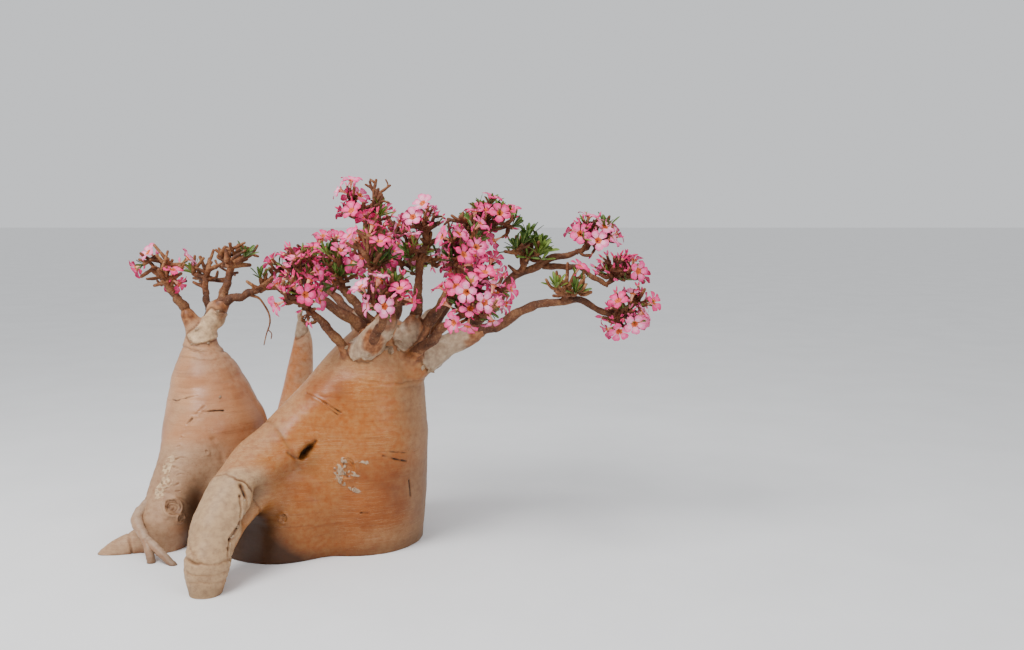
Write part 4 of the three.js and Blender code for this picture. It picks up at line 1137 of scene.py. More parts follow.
def bark_look(name, tan, light, warm, red, grey, grey_light, scales=GREY_SCALES):
    """Smooth waxy bark: tan, warmer underneath, redder low down, with a grey bloom on what faces the sky,
    painted shade where the shade mask has it and painted shade in the creases where the dark mask has it.
    """
    tan, light, warm, red, grey, grey_light = map(rgb, (tan, light, warm, red, grey, grey_light))
    look = Look(name, 0.5)
    broad = look.noise(4.5, 4)
    fine = look.noise(45, 5)
    rings = look.noise(3.2, 4, (1.5, 1.5, 26))
    hairs = look.noise(5, 3, (1.2, 1.2, 60))
    specks = look.noise(230, 2)
    base = look.ramp(broad, (0.32, tan), (0.68, light))
    glow = look.math("MULTIPLY", look.mask("warm"), look.ramp(broad, (0.25, 1.0), (0.7, 0.75)))
    base = look.mix(glow, base, look.ramp(fine, (0.3, warm), (0.75, light)))
    base = look.mix(look.mask("red"), base, look.ramp(broad, (0.35, red), (0.65, warm)))
    base = look.mix(look.ramp(rings, (0.56, 0.0), (0.72, 0.3)), base, light)
    base = look.mix(look.ramp(rings, (0.3, 0.3), (0.44, 0.0)), base, red)
    base = look.mix(look.mask("dusty"), base, look.ramp(fine, (0.25, grey), (0.6, grey_light)))
    scratch = look.ramp(hairs, (0.485, 0.0), (0.5, 0.5), (0.515, 0.0))
    scratch = look.math("MULTIPLY", scratch, look.ramp(broad, (0.45, 0.0), (0.6, 0.8)))
    base = look.mix(scratch, base, rgb(SCRATCH_TONE))
    base = look.mix(look.ramp(specks, (0.3, 0.4), (0.38, 0.0)), base, red)
    pale = look.ramp(fine, *zip((0.3, 0.52, 0.75), map(rgb, scales)))
    base = look.mix(look.mask("loose"), base, pale)
    brown = look.ramp(fine, *zip((0.3, 0.5, 0.7), map(rgb, BOUGH_BROWNS)))
    base = look.mix(look.mask("brown"), base, brown)
    # Painted shade, where the shade mask places it.
    base = look.mix(look.mask("shade"), base, rgb(SHADE_TONE))
    # Painted shade in the grooves, creases, knot seams and under the plates' lips.
    base = look.mix(look.mask("dark"), base, rgb(CREASE_SHADE_TONE))
    grain = look.math("ADD", look.math("MULTIPLY", rings, 0.6), look.math("MULTIPLY", fine, 0.4))
    look.bump(grain, 0.4, 0.003)
    look.set(look.surface.inputs["Roughness"], look.ramp(look.mask("dusty"), (0.0, 0.33), (0.6, 0.55)))
    return look.colour(base)


def twig_look(name, deep, warm, light, scars):
    """Knobbly twig bark with the pale rings of old leaf scars."""
    look = Look(name, 0.7)
    broad = look.noise(16, 4)
    fine = look.noise(150, 4)
    base = look.ramp(broad, (0.32, rgb(deep)), (0.5, rgb(warm)), (0.68, rgb(light)))
    base = look.mix(look.ramp(fine, (0.38, 0.5), (0.5, 0.0)), base, rgb(deep))
    base = look.mix(look.ramp(fine, (0.6, 0.0), (0.72, 0.55)), base, rgb(scars))
    look.bump(look.noise(110, 5, (1, 1, 1), 0.65), 0.6, 0.003)
    return look.colour(base)


def soft_look(name, dark, light, roughness, scale, glow=0.0):
    """A petal or a leaf: a plain colour with a little mottling and veins in relief."""
    look = Look(name, roughness)
    base = look.ramp(look.noise(scale, 3), (0.3, rgb(dark)), (0.7, rgb(light)))
    look.bump(look.noise(3 * scale, 2), 0.2, 0.001)
    if glow:
        look.surface.inputs["Subsurface Weight"].default_value = glow
        look.surface.inputs["Subsurface Radius"].default_value = (0.006, 0.003, 0.003)
    return look.colour(base)


def boughs_of(side):
    """The boughs that leave the main or the left stem."""
    far = side == "left"
    return [bough for name, bough in BOUGHS.items() if bough["rooted"] and ("_far_" in name) == far]


def bough_collars(side):
    """Short flared chains where boughs leave a stem, dying away under the bough's own skin."""
    collars = []
    for bough in boughs_of(side):
        points = curve_points(bough["path"], ROOT_STEPS)
        root = points[0] - 30 * unit(points[1] - points[0])
        rows = [[*p, bough["radii"][0] + swell] for p, swell in zip([root] + points, COLLAR_SWELLS)]
        collars.append((smooth_chain(rows[::2] + rows[-1:]), COLLAR_BLEND))
    return collars


def limb_rows(limb, slimmer=0):
    return [[*point, radius - slimmer] for point, radius in zip(limb["path"], limb["radii"])]


def brown_near_boughs(points, side):
    """How near each point is to the root of a bough, where a stem's bark takes the bough's colour."""
    brown = np.zeros(len(points))
    for bough in boughs_of(side):
        away = path_distance(points, curve_points(bough["path"], ROOT_STEPS)[:8]) - bough["radii"][0]
        brown = np.maximum(brown, smooth_step(24, 5, away + 8 * noise(points, 22, 51)))
    return brown


def inwards(bough, parts):
    """The bough's line drawn deeper into the stem at its root."""
    line = curve_points(bough["path"], BARK_STEPS)
    slope = unit(skin_slope(line[0][None], parts)[1][0])
    line[0] = line[0] - ROOT_BACK * unit(line[1] - line[0])
    bent = 0.22 * BARK_STEPS
    return [p - ROOT_SINK * slope * max(0, 1 - i / bent) ** 2 for i, p in enumerate(line)]


def above_ground(points, radii):
    """A root's line and radii down to where it goes into the ground."""
    count = next((i for i, p in enumerate(points) if p[2] < -0.3 * radii[i]), len(points))
    return points[:count], radii[:count]


def tidy_bottom(points):
    points[:, 2] = np.maximum(points[:, 2], 0)
    return points


def soft_spot(points, centre, reach):
    """A value of 1 at a centre that fades to 0 at the reach along each axis."""
    return smooth_step(1, 0.25, np.linalg.norm((points - centre) / reach, axis=1))


def main_masks(points, outward, masks):
    """The main stem: pale and dusty on its leg, its shoulders and its right side, with painted shade in the
    fold beside the leg, along the arm's valley, on its right side and low down, and in two redder spots.
    """
    rough = ripples(points, (0.3, 130, 21), (0.16, 50, 22), (0.07, 16, 23))
    x, y, z = points.T
    right, back, up = outward.T
    leg = smooth_step(-385, -470, y + 60 * rough) * smooth_step(460, 400, z)
    sky = smooth_step(0.2, 0.85, up - 0.25 * right + rough) * smooth_step(-20, -160, x - 0.5 * z + 250)
    sky = np.maximum(sky, 0.6 * smooth_step(0.5, 0.9, up + rough))
    side = smooth_step(0.45, 0.95, right + 0.5 * rough) * smooth_step(80, 260, x)
    foot = smooth_step(150, 60, z) * smooth_step(0, 160, x + 120 * rough)
    neck = smooth_step(690, 800, z + 60 * rough)
    under = smooth_step(-0.15, -0.55, up + 0.3 * rough)
    dusty = np.maximum.reduce([0.4 * sky, 0.45 * side, 0.3 * foot, 0.35 * neck, leg * (0.95 - 0.7 * under)])
    # Two spots of painted shade, below the neck and beside the arm: there the dust is thinned and the bark
    # made redder.
    shoulder = soft_spot(points, [-40, -215, 690], [170, 130, 110])
    beside_arm = soft_spot(points, [-140, -335, 290], [120, 90, 100])
    masks["dusty"] = np.clip(dusty + 0.12 * rough, 0, 1) * (1 - masks["dark"]) * (1 - 0.8 * shoulder)
    front = smooth_step(0.3, -0.5, back + 0.6 * rough) * (1 - 0.5 * side)
    glow = 0.45 * smooth_step(0.2, 0.8, rough + 0.5 * back)
    masks["warm"] = np.clip(0.85 * front + 0.2 + glow, 0, 1)
    belly = smooth_step(430, 240, z + 130 * rough) * smooth_step(-60, 90, x + 150 * rough)
    # Red: the belly's own redder bark, and painted shade in the two spots.
    masks["red"] = np.maximum.reduce([0.75 * belly * front * (1 - foot), 0.6 * shoulder, 0.45 * beside_arm])
    # Shade: painted shade in the fold between the leg and the belly, along the arm's valley, on the right
    # side, more towards the bottom and most at the ground.
    cavity = smooth_step(-20, -230, x + 0.6 * z - 90 * rough) * smooth_step(340, 190, z + 80 * rough)
    cavity *= smooth_step(-470, -400, y) * smooth_step(0.2, -0.2, back)
    valley = smooth_step(75, 8, path_distance(points, ARM_VALLEY) + 40 * rough)
    turned = smooth_step(0.35, 0.95, right + 0.3 * rough) * smooth_step(0, 200, x)
    turned *= smooth_step(-20, 60, z)
    low = smooth_step(480, 60, z + 120 * rough) * (1 - leg)
    base = 0.3 * smooth_step(60, 5, z + 30 * rough)
    masks["shade"] = np.clip(0.92 * cavity + 0.3 * valley + 0.24 * turned + 0.26 * low + base, 0, 0.93)
    masks["brown"] = brown_near_boughs(points, "main")
    return masks


def left_masks(points, outward, masks):
    """The left stem: dusty on its leg and its neck, with painted shade where it stands close to the main one
    and on what faces down near the ground.
    """
    rough = ripples(points, (0.3, 130, 31), (0.16, 50, 32), (0.07, 16, 33))
    y, z = points.T[1:]
    right, _, up = outward.T
    leg = smooth_step(40, -70, y) * smooth_step(470, 380, z)
    facing = smooth_step(-0.6, 0.1, up + rough)
    sky = smooth_step(0.1, 0.8, up + rough)
    neck = smooth_step(740, 850, z + 40 * rough)
    dusty = np.maximum.reduce([0.5 * sky, 0.4 * neck, 0.75 * leg * facing])
    masks["dusty"] = np.clip(dusty + 0.15 * rough, 0, 1) * (1 - masks["dark"])
    masks["warm"] = np.clip(0.8 * smooth_step(-0.2, 0.4, rough + 0.3 * right), 0, 1)
    masks["brown"] = brown_near_boughs(points, "left")
    masks["red"] = 0.5 * smooth_step(0.1, -0.6, up + 0.4 * rough) * smooth_step(420, 180, z)
    # Painted shade where the left stem faces the main one, and on what faces down near the ground.
    gap = soft_spot(points, [-620, -80, 120], [110, 210, 240]) * smooth_step(0.3, 0.85, right - 0.4 * rough)
    base = 0.35 * smooth_step(110, 20, z) * smooth_step(0.2, -0.4, up + rough)
    masks["shade"] = 0.85 * gap + base
    return masks


def other_masks(points, outward, masks):
    """The rear stem, the prop root and the boughs, with painted shade near the ground."""
    rough = ripples(points, (0.35, 90, 41), (0.2, 30, 42))
    masks["dusty"] = 0.7 * smooth_step(0.1, 0.9, outward[:, 2] + 0.35 * outward[:, 0] + rough)
    masks["warm"] = np.clip(0.7 + rough, 0, 1)
    masks["red"] = 0.25 * smooth_step(0.0, 0.8, rough)
    # Painted shade near the ground.
    masks["shade"] = 0.35 * smooth_step(60, 5, points[:, 2])
    masks["brown"] = np.zeros(len(points))
    return masks


def make_stem(side, stem, marks, look, shade_masks, slimmer):
    """The bark of the main or the left stem as one skin: its points, and the way out of it at each."""
    parts = swelling_parts(stem)
    parts += [(smooth_chain(limb_rows(limb, slimmer)), LIMB_BLEND) for limb in stem["limbs"]]
    parts += bough_collars(side)
    rows = np.array(sum(stem["swellings"], []) + sum(map(limb_rows, stem["limbs"]), []))
    low = (rows[:, :3] - rows[:, 3:]).min(0) - 3 * SKIN_CELL
    high = (rows[:, :3] + rows[:, 3:]).max(0) + 8 * SKIN_CELL
    low[2] = -2.5 * SKIN_CELL
    points, faces = skin_mesh(parts, low, high, SKIN_CELL)
    faces = face_triangles(faces)
    for band in MARK_BANDS:
        chosen = near_marks(points, marks, band) & (points[:, 2] > -SKIN_CELL)
        points, faces = refine(points, faces, chosen)
    on_side = points[:, 2] > -SKIN_CELL
    outward = np.tile([0.0, 0.0, -1.0], (len(points), 1))
    points[on_side], outward[on_side] = onto_skin(points[on_side], parts)
    proud, masks = bark_relief(points, outward, marks)
    masks = shade_masks(points, outward, masks)
    points = tidy_bottom(points + (proud * on_side)[:, None] * outward)
    make_piece(f"bark_{side}", points, faces, [look], [f"stem_{side}"], masks=masks)
    return points, outward


def make_limb_piece(name, limbs, look, slot, nodes, sides, marks=None):
    """Tubes joined into one piece, with the bark's relief."""
    heap = Heap()
    for points, radii in limbs:
        heap.add(*tube(points, radii, sides))

    def relief(points, faces):
        outward = vertex_normals(points, faces)
        proud, masks = bark_relief(points, outward, marks or {})
        masks = other_masks(points, outward, masks)
        return tidy_bottom(points + (LIMB_RELIEF * proud)[:, None] * outward), masks

    heap.piece(name, [look], slot, nodes, relief)


def vertex_normals(points, faces):
    """The outward direction at each point, from the triangles round it."""
    a, b, c = (points[faces[:, i]] for i in range(3))
    normals = np.zeros_like(points)
    flat = np.cross(b - a, c - a)
    for i in range(3):
        np.add.at(normals, faces[:, i], flat)
    return normals / np.maximum(np.linalg.norm(normals, axis=1), 1e-9)[:, None]


def knobbly(radii, draw, swell):
    """Radii with the uneven knuckles of old leaf scars."""
    return [radius * (1 + swell * (2 * next(draw) - 0.8)) for radius in radii]


def add_flake(heap, at, outward, down, length, width, lift, draw):
    """A thin scale of loose bark, held along its upper edge and curling off the stem at its lower one."""
    down = unit(down - (down @ outward) * outward)
    side = np.cross(outward, down)
    along, across = np.linspace(0, 1, 6), np.linspace(-1, 1, 5)
    skew, ragged = 0.5 * (next(draw) - 0.5), [0.75 + 0.5 * next(draw) for _ in across]
    layers = []
    for thickness in (1.0, -0.6):
        for u in along:
            wide = width * (0.75 + 0.35 * math.sin(2.6 * u + 0.3)) * (1 - 0.55 * u**3)
            for v, rag in zip(across, ragged):
                rise = lift * u * u * (1 - 0.3 * v * v) + thickness * (1 - 0.5 * abs(v))
                rise -= 0.12 * width * v * v
                hung = at + down * length * (u * rag - 0.15)
                layers.append(hung + side * wide * (0.5 * v + skew * u) + outward * rise)
    n = len(across)
    under = len(along) * n
    front = grid_faces(len(along), n)
    back = front[:, ::-1] + under
    rim = list(range(n)) + [n * i + n - 1 for i in range(1, len(along))]
    rim += [under - 1 - i for i in range(1, n)] + [n * i for i in range(len(along) - 2, 0, -1)]
    edge = [[b, a, a + under, b + under] for a, b in zip(rim, rim[1:] + rim[:1])]
    heap.add(layers, np.concatenate([front, back, np.array(edge)]))


def add_lip_flakes(heap, points, outward, marks, draw, gap):
    """Loose scales that hang along the ragged lips of the plates."""
    order = np.random.default_rng(LIP_SEED).permutation(len(points))
    placed = []
    for path, radius, _ in marks["plates"]:
        reach = plate_reach(points[order], path, radius)
        for i in order[np.abs(reach - 2) < 2.5]:
            if placed and min(np.linalg.norm(points[i] - other) for other in placed) < gap:
                continue
            placed.append(points[i])
            down = points[i] - np.mean(path, axis=0) + np.array([0, 0, -25])
            size = 12 + 16 * next(draw)
            add_flake(heap, points[i], outward[i], down, size, 0.9 * size, 2 + 5 * next(draw), draw)


def add_spot_flakes(heap, spots, points, outward, draw):
    """Loose scales on the bark nearest to given places."""
    for spot, size, lift in spots:
        i = np.argmin(np.linalg.norm(points - spot, axis=1))
        down = np.array([next(draw) - 0.5, 0, next(draw) - 0.8])
        add_flake(heap, points[i], outward[i], down, size, 0.9 * size, lift, draw)


bark = bark_look("bark", "85532c", "aa733f", "9b4f12", "622609", "8f7256", "b0906c")
pink_tones = ("a06642", "bd8a62", "a66036", "6a3820", "8c6e54", "a88a6c")
pink_bark = bark_look("bark_pink", *pink_tones, CREAM_SCALES)
root_bark = bark_look("bark_root", "94745a", "ae8e72", "9c6e50", "6c4632", "8a7058", "ac927a")
stump_bark = bark_look("bark_stump", "c07c4e", "d69e70", "c87234", "904c26", "a08468", "ccb494")
bough_bark = twig_look("bark_bough", "3f2417", "694028", "8e623f", "a48a6c")
young_bark = twig_look("bark_twig", "402214", "6c3e26", "90603c", "a88a68")
dry_bark = twig_look("bark_dry", "4c2a18", "7e4c2e", "a07048", "b09674")
flake_bark = twig_look("bark_flake", "745a42", "9c8064", "bca488", "ccbca4")

# The two large stems, with the loose scales on them
flakes = Heap()
draw = number_stream(FLAKE_SEED)
for side, stem, marks, look, shade_masks, slimmer, gap in (
    ("main", MAIN_STEM, MAIN_MARKS, bark, main_masks, 0, 58),
    ("left", LEFT_STEM, LEFT_MARKS, pink_bark, left_masks, 7, 64),
):
    skin, outward = make_stem(side, stem, marks, look, shade_masks, slimmer)
    add_lip_flakes(flakes, skin, outward, marks, draw, gap)
    add_spot_flakes(flakes, marks["flakes"], skin, outward, draw)
flakes.piece("bark_flakes", [flake_bark], "bark", ["stem_main", "stem_left"])

# The rear stem, with the crook at its tip
rear_steps, crook_steps = 90, 18
crook = [[-284, 502, 850], [-286, 500, 885], [-291, 498, 912], [-284, 494, 928]]
rear_limbs = [
    (curve_points(REAR_STEM["path"], rear_steps), radii_along(REAR_STEM["radii"], rear_steps)),
    (curve_points(crook, crook_steps), radii_along([21, 15, 11, 8], crook_steps)),
]
rear_sides = 96
make_limb_piece("bark_rear", rear_limbs, stump_bark, "bark", ["stem_rear"], rear_sides, REAR_MARKS)

# The prop root, swollen towards the stem
root_tubes = []
arch = PROP_ROOT["arch"]
for limb in [arch] + PROP_ROOT["feet"]:
    swell = np.linspace(1.3, 1.1, ROOT_STEPS + 1) if limb is arch else 1.08
    swollen = radii_along(limb["radii"], ROOT_STEPS) * swell
    root_tubes.append(above_ground(curve_points(limb["path"], ROOT_STEPS), knobbly(swollen, draw, 0.1)))
make_limb_piece("bark_prop_root", root_tubes, root_bark, "bark", ["prop_root"], 20)


def bough_tube(number, name, bough):
    """A bough's line and radii, swaying a little and knuckled."""
    draw = number_stream(BOUGH_SEED + number)
    stem_parts = swelling_parts(LEFT_STEM if "_far_" in name else MAIN_STEM)
    line = inwards(bough, stem_parts) if bough["rooted"] else curve_points(bough["path"], BARK_STEPS)
    side = unit(np.cross(line[-1] - line[0], [0.3, 0.5, 0.8]))
    other = unit(np.cross(line[-1] - line[0], side))
    turn = 6.3 * next(draw)
    for i in range(1, BARK_STEPS):
        share = i / BARK_STEPS
        sway = 6 * math.sin(math.pi * share)
        line[i] = line[i] + sway * (math.sin(9 * share + turn) * side + math.cos(11 * share + turn) * other)
    radii = radii_along(bough["radii"], BARK_STEPS)
    radii = [r * (1.04 + 0.07 * math.sin(24 * i / BARK_STEPS + number)) for i, r in enumerate(radii)]
    return line, knobbly(radii, draw, 0.05)


bough_tubes = [bough_tube(number, *row) for number, row in enumerate(BOUGHS.items())]
make_limb_piece("boughs", bough_tubes, bough_bark, "twig_bark", list(BOUGHS), 20)


def petal(draw, twist, cup):
    """One petal that spreads from the throat: points, faces and the zone of each face."""
    along, across = np.linspace(0, 1, PETAL_ROWS), np.linspace(-1, 1, PETAL_COLUMNS)
    u, v = np.meshgrid(along, across, indexing="ij")
    outer = PETAL_HALF * np.sqrt(1 - (np.maximum(u - WIDEST_AT, 0) / 0.405) ** 2)
    wide = np.where(u < WIDEST_AT, lerp(6.0, PETAL_HALF, smooth_step(0, WIDEST_AT, u)), outer)
    out = 8 + (BLOSSOM_RADIUS - 6) * u * (1 - 0.06 * np.abs(v) * u)
    height = BLOSSOM_TUBE - 3 + 15 * np.sin(0.5 * math.pi * np.minimum(1.3 * u, 1)) - 8 * u**3
    height += cup * 5 * v**2 * u + 1.8 * u * np.sin(3 * math.pi * v + 6 * next(draw)) + twist * 6 * u * v
    points = np.stack([out, v * wide, height], axis=-1).reshape(-1, 3)
    quads = grid_faces(PETAL_ROWS, PETAL_COLUMNS)[:, [0, 3, 2, 1]]
    zones = np.full((PETAL_ROWS - 1, PETAL_COLUMNS - 1), MIDDLE)
    zones[1] = HEART
    zones[2, 1:5] = HEART
    zones[3, 2:4] = HEART
    zones[3:, [0, -1]] = RIM
    zones[-1] = RIM
    zones[0] = THROAT
    return points, quads, zones.ravel()


def add_blossom(heap, foot, way, draw, shade):
    """A trumpet blossom, its petals uneven and its throat warm."""
    spread = upright(way)
    turn = 2 * math.pi * next(draw)
    angles = 2 * math.pi * np.arange(TRUMPET_SIDES) / TRUMPET_SIDES
    rings = [level_ring(radius, height, angles) for radius, height in TRUMPET_RINGS]
    zones = np.repeat([CALYX, TUBE, TUBE, TUBE, THROAT], TRUMPET_SIDES)
    quads = grid_faces(len(rings), TRUMPET_SIDES, closed=True)
    heap.add(foot + np.concatenate(rings) @ spread.T, quads, np.tile(zones, 2))
    lean, cup = 0.5 * (next(draw) - 0.5), next(draw) - 0.3
    for i in range(PETALS):
        points, quads, zones = petal(draw, lean + 0.4, cup)
        angle = turn + 2 * math.pi * (i + 0.12 * (next(draw) - 0.5)) / PETALS
        cos, sin = math.cos(angle), math.sin(angle)
        points[:, 2] += 9 * (next(draw) - 0.5) * (points[:, 0] / BLOSSOM_RADIUS)
        points = points @ np.array([[cos, sin, 0], [-sin, cos, 0], [0, 0, 1]])
        heap.add(foot + points @ spread.T, quads, np.tile(np.where(zones <= RIM, zones + shade, zones), 2))


def add_bud(heap, foot, way, draw, shade):
    """A pointed closed bud on its calyx."""
    length, radius = 24 + 18 * next(draw), 3.6 + 1.6 * next(draw)
    shares = np.array([0, 0.12, 0.35, 0.62, 0.85, 1])
    widths = np.array([0.5, 0.75, 0.85, 1.0, 0.6, 0.08])
    side = splayed(way, math.pi / 2, 6 * next(draw))
    points = [foot + way * length * s + side * 4 * s * s for s in shares]
    shape, faces = tube(points, radius * widths, BUD_SIDES, round_end=False)
    zones = np.repeat([CALYX, TUBE] + [RIM + shade] * 3, BUD_SIDES)
    ends = np.full(len(faces) - 2 * len(zones), RIM + shade)
    heap.add(shape, faces, np.concatenate([zones, zones, ends]))


def add_leaf(heap, foot, way, axis, draw, length, shade):
    """A narrow blunt leaf, widest past its middle and folded along its pale midrib."""
    side = unit(np.cross(way, axis))
    face = np.cross(side, way)
    shares = np.array([0, 0.2, 0.45, 0.7, 0.88, 0.97, 1])
    widths = length * 0.108 * np.array([0.3, 0.5, 0.82, 1.0, 0.86, 0.5, 0.12])
    fold, droop, twist = 0.3 + 0.4 * next(draw), 0.3 * next(draw) - 0.05, 0.5 * (next(draw) - 0.5)
    points = []
    for share, wide in zip(shares, widths):
        middle = foot + way * length * share - face * length * 0.45 * droop * share**2
        turned = side * math.cos(twist * share) + face * math.sin(twist * share)
        for across in LEAF_PLACES:
            points.append(middle + turned * wide * across + face * fold * wide * abs(across))
    tones = np.tile([shade, LEAF_RIB, shade], len(shares) - 1)
    heap.add(points, grid_faces(len(shares), len(LEAF_PLACES)), np.tile(tones, 2))


def add_twig(heap, points, radii, draw, sides=8, steps=4):
    line = smooth_line(points, steps)
    sizes = np.interp(np.linspace(0, len(radii) - 1, len(line)), np.arange(len(radii)), radii)
    sizes = knobbly(sizes, draw, 0.16)
    heap.add(*tube(line, sizes, sides))
    return line, sizes


def add_side_twigs(heap, mass, line, sizes, draw, growth, near=()):
    """Finer twigs that leave a twig's side, bow upwards and end bluntly."""
    count, reach = growth
    ends = []
    for _ in range(count):
        place = 1 + int(next(draw) * (len(line) - 2))
        base, way = line[place], unit(line[place] - line[place - 1])
        way = splayed(way, 0.65 + 0.65 * next(draw), 2 * math.pi * next(draw))
        length = reach * (0.45 + 0.55 * next(draw))
        knee = base + way * 0.45 * length
        end = knee + unit(splayed(way, 1.1 * next(draw), 6.3 * next(draw)) + 0.5 * UP) * 0.6 * length
        if not is_free(mass, end, 5, SIDE_TWIG_REACH):
            continue
        if any(np.linalg.norm(end - other[0]) < SIDE_TWIG_ROOM for other in [*near, *ends]):
            continue
        thick = min(0.8 * sizes[place], THICKEST_SIDE_TWIG)
        twig, thin = add_twig(heap, [base, knee, end], [thick, 0.92 * thick, 0.78 * thick], draw, 7, 3)
        ends.append((end, unit(end - knee), twig, thin))
    return ends


def add_rosette(mass, foot, axis, draw, leafage, shade):
    """Narrow leaves round a twig's tip, the inner ones upright. Leafage is their number and length."""
    count, length = leafage
    for i in range(count):
        tilt = lerp(0.95, 0.15, i / count) + 0.2 * (next(draw) - 0.5)
        way = splayed(axis, tilt, GOLDEN_ANGLE * i + 0.4 * next(draw))
        long = length * lerp(1.0, 0.7, i / count) * (0.85 + 0.3 * next(draw))
        if is_free(mass, foot + long * way, 0, TUFT_REACH):
            add_leaf(leaves, foot + 2 * way, way, axis, draw, long, shade)


def add_flowers(place, draw, shade):
    """A blossom, with up to two buds beside it."""
    add_blossom(blossoms, place["foot"], place["way"], draw, shade)
    for _ in range(int(3 * next(draw))):
        way = splayed(place["way"], 0.7 + 0.5 * next(draw), 6.3 * next(draw))
        add_bud(blossoms, place["foot"] + 3 * way, way, draw, shade)


def dress_side(mass, end, way, flowering, leafy, kept, draw, shade, green):
    """A blossom, two buds or a few leaves on the end of a side twig, or nothing."""
    luck = next(draw)
    place = blossom_place(end - 4 * way, unit(way + 0.3 * UP))
    roomy = all(np.linalg.norm(place["centre"] - other["centre"]) > BLOSSOM_SPACING for other in kept)
    roomy = roomy and all(is_free(mass, at, 0, TUFT_REACH) for at in place["ring"])
    if flowering and luck < BLOSSOM_LUCK and roomy:
        kept.append(place)
        add_blossom(blossoms, place["foot"], place["way"], draw, shade)
    elif flowering and luck < BUD_LUCK:
        for _ in range(2):
            add_bud(blossoms, end - 3 * way, splayed(way, 0.35, 6.3 * next(draw)), draw, shade)
    elif (leafy and luck < LEAFY_SIDE_LUCK) or (flowering and luck < ROSETTE_LUCK):
        leafage = LEAFY_SIDE if leafy else FLOWERING_SIDE
        add_rosette(mass, end - 3 * way, unit(way + 0.8 * UP), draw, leafage, green)


def dress_twig(mass, twig, end, tip_way, sides, kept, draw):
    """The blossoms, buds and leaves of a twig and of its side twigs."""
    lush = mass["lush"]
    axis = unit(tip_way + TIP_LIFT * UP)
    shade = PETAL_LOOKS * SHADE_ORDER[int(len(SHADE_ORDER) * next(draw))]
    green = int(GREENS * next(draw))
    flowering = twig["kind"] < mass["flowers"]
    leafy = not flowering and twig["kind"] <= mass["flowers"] + mass["leaves"]
    for place in twig["pieces"]:
        if place["kind"] == "blossom":
            add_flowers(place, draw, shade)
    if leafy and (mass["dry"] or lush or next(draw) < LEAFY_TIP_LUCK):
        add_rosette(mass, end - 3 * tip_way, unit(axis + 0.8 * UP), draw, LEAFY_TIP[lush], green)
    elif flowering and (lush or next(draw) < FLOWERING_TIP_LUCK):
        axis = unit(axis + 0.5 * UP) if lush else axis
        add_rosette(mass, end - 4 * tip_way, axis, draw, FLOWERING_TIP[lush], green)
    for side_end, way, _, _ in [] if mass["dry"] else sides:
        dress_side(mass, side_end, way, flowering, leafy, kept, draw, shade, green)


def dress_mass(number, mass):
    """The twigs of a mass with their finer twigs, and what grows on them."""
    stem = STEMS[mass["name"]]
    heap, growth = (bare, DRY_GROWTH) if mass["dry"] else (living, LIVING_GROWTH)
    draw = number_stream(MASS_SEED + number)
    joints, twigs = grow_twigs(mass)
    sizes = [1.12 * twig_radius(joint["tips"], stem["radius"]) for joint in joints]
    end_size = max(sizes[2], 0.8 * stem["radius"])
    base = stem["points"][0] - 12 * stem["way"]
    knuckle = stem["points"][2] + 0.6 * end_size * unit(stem["points"][2] - stem["points"][1])
    carrier = [base] + stem["points"] + [knuckle]
    line, thick = add_twig(heap, carrier, [stem["radius"]] * 3 + [end_size, 0.8 * end_size], draw, 12, 5)
    add_side_twigs(heap, mass, line[4:], thick[4:], draw, growth["stem"])
    grown = []
    kept = [piece for twig in twigs for piece in twig["pieces"] if piece["kind"] == "blossom"]
    for twig in twigs:
        places = [joints[i]["at"] for i in twig["line"]]
        line, thick = add_twig(heap, places, [sizes[i] for i in twig["line"]], draw)
        sides = add_side_twigs(heap, mass, line, thick, draw, growth["twig"], grown)
        for _, _, finer, thin in list(sides):
            sides += add_side_twigs(heap, mass, finer, thin, draw, growth["finer"], grown + sides)
        grown += sides
        dress_twig(mass, twig, places[-1], unit(line[-1] - line[-2]), sides, kept, draw)


blossoms, leaves = Heap(), Heap()
living, bare = Heap(), Heap()
for number, mass in enumerate(MASSES):
    dress_mass(number, mass)

# A dry twig that hangs from a far bough
draw = number_stream(DRY_SEED)
hanging = [
    [-446, 183, 1034],
    [-405, 181, 1022],
    [-381, 180, 992],
    [-360, 180, 950],
    [-357, 180, 910],
    [-374, 180, 860],
    [-386, 180, 812],
]
add_twig(bare, hanging, [7, 5.5, 4.6, 4, 3.6, 3.2, 2.6], draw, 7, 4)
add_twig(bare, [[-366, 180, 880], [-352, 186, 862], [-356, 190, 838]], [3, 2.6, 2.2], draw, 6, 3)

# Dry curls at the tip of the rear stem
for n in range(6):
    heart = np.array([-262 + 9 * n, 494 - 8 * n, 886 + 7 * (n % 3)])
    turn, size = 1.1 * n, 20 + 5 * (n % 3)
    loop = [[-284, 500, 862]]
    for i in range(1, 9):
        angle = turn + 0.6 * i
        curl = [math.cos(angle), 0.4 * math.sin(1.7 * angle), 0.8 * math.sin(angle)]
        loop.append(heart + size * np.array(curl))
    add_twig(bare, loop, [4.2, 3.8, 3.4, 3, 2.8, 2.6, 2.4, 2.2, 2], draw, 6, 3)

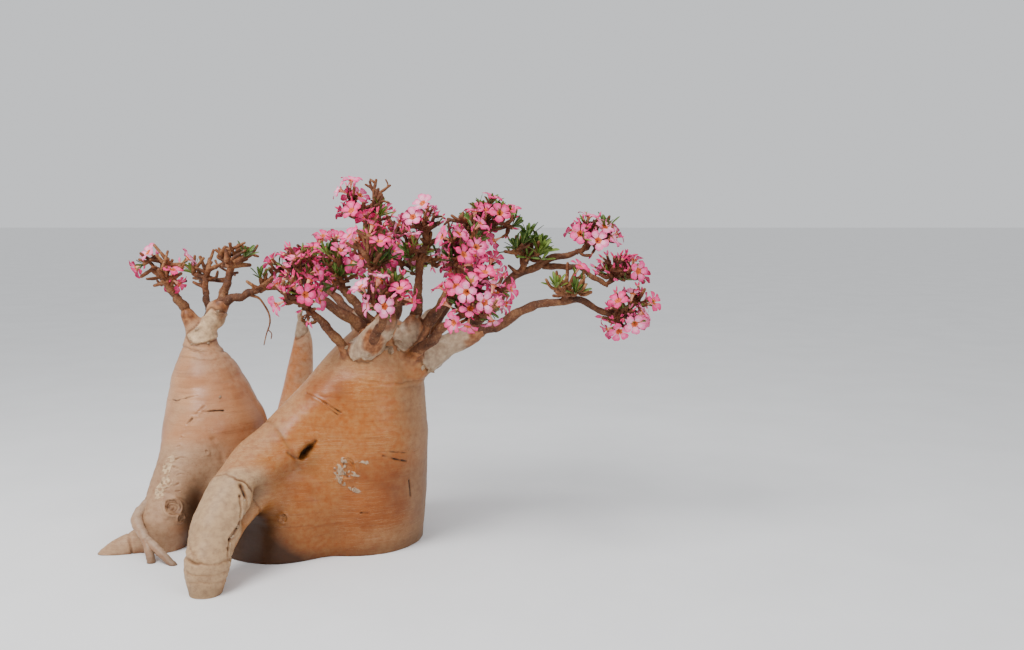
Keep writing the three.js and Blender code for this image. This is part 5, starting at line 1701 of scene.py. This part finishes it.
trumpet_looks = [
    soft_look("blossom_tube", "d9806a", "efb890", 0.6, 80, 0.1),
    soft_look("blossom_throat", "c8322e", "ec8a3c", 0.6, 160, 0.1),
    soft_look("blossom_calyx", "8a4a2a", "a8743c", 0.65, 200),
]
petal_looks = []
for number, shades in enumerate(SHADES):
    for zone, light, dark in zip(("heart", "middle", "rim"), shades[::2], shades[1::2]):
        petal_looks.append(soft_look(f"petal_{zone}_{number}", dark, light, 0.55, 80, 0.12))
    petal_looks += trumpet_looks
leaf_looks = [
    soft_look("leaf_deep", "2a4016", "3f5c20", 0.45, 50),
    soft_look("leaf_mid", "384f1a", "536f28", 0.45, 50),
    soft_look("leaf_young", "566c22", "748836", 0.45, 50),
    soft_look("leaf_rib", "7a8c40", "98a85c", 0.5, 50),
]
dry_names = [mass["name"] for mass in MASSES if mass["dry"]]
living_names = [mass["name"] for mass in MASSES if not mass["dry"]]
living.piece("twigs", [young_bark], "twig_bark", living_names)
bare.piece("twigs_bare", [dry_bark], "bare_twigs", dry_names)
blossoms.piece("blossoms", petal_looks, "blossom", living_names)
leaves.piece("leaves", leaf_looks, "leaf", living_names)

# Floor, light and camera, in metres
floor_mesh = bpy.data.meshes.new("floor")
floor_corners = [(x, y, -0.001) for x, y in ((-60, -60), (60, -60), (60, 60), (-60, 60))]
floor_mesh.from_pydata(floor_corners, [], [(0, 1, 2, 3)])
floor_look = Look("floor_plain", 0.9)
floor_tone = floor_look.ramp(floor_look.noise(2, 3), (0.3, 0.8), (0.7, 0.84))
floor_mesh.materials.append(floor_look.colour(floor_tone))
floor = new_object("floor", floor_mesh)


def add_light(name, place, aim_at, size, power):
    light = bpy.data.lights.new(name, "AREA")
    light.shape, light.size, light.energy = "DISK", size, power
    lamp = new_object(name, light)
    lamp.location = place
    away = np.array(place) - np.array(aim_at)
    lamp.rotation_euler = (math.acos(away[2] / np.linalg.norm(away)), 0, math.atan2(away[0], -away[1]))


add_light("sky_light", (-1.8, -2.2, 4.6), (0.1, 0, 0.6), 2.6, 270)
add_light("fill_light", (3.5, -3.5, 2.5), (0.1, 0, 0.6), 3.0, 60)
world = bpy.data.worlds.new("studio")
world.use_nodes = True
background = world.node_tree.nodes["Background"]
background.inputs["Color"].default_value = (0.95, 0.97, 1.0, 1)
background.inputs["Strength"].default_value = 0.85
bpy.context.scene.world = world

view = bpy.data.cameras.new("camera")
view.lens, view.sensor_width = 35.33, 36
camera = new_object("camera", view)
camera.location = (0.7176, -4.25, 1.43)
camera.rotation_euler = (math.radians(90 - CAMERA_DROP), 0, 0)
bpy.context.scene.camera = camera
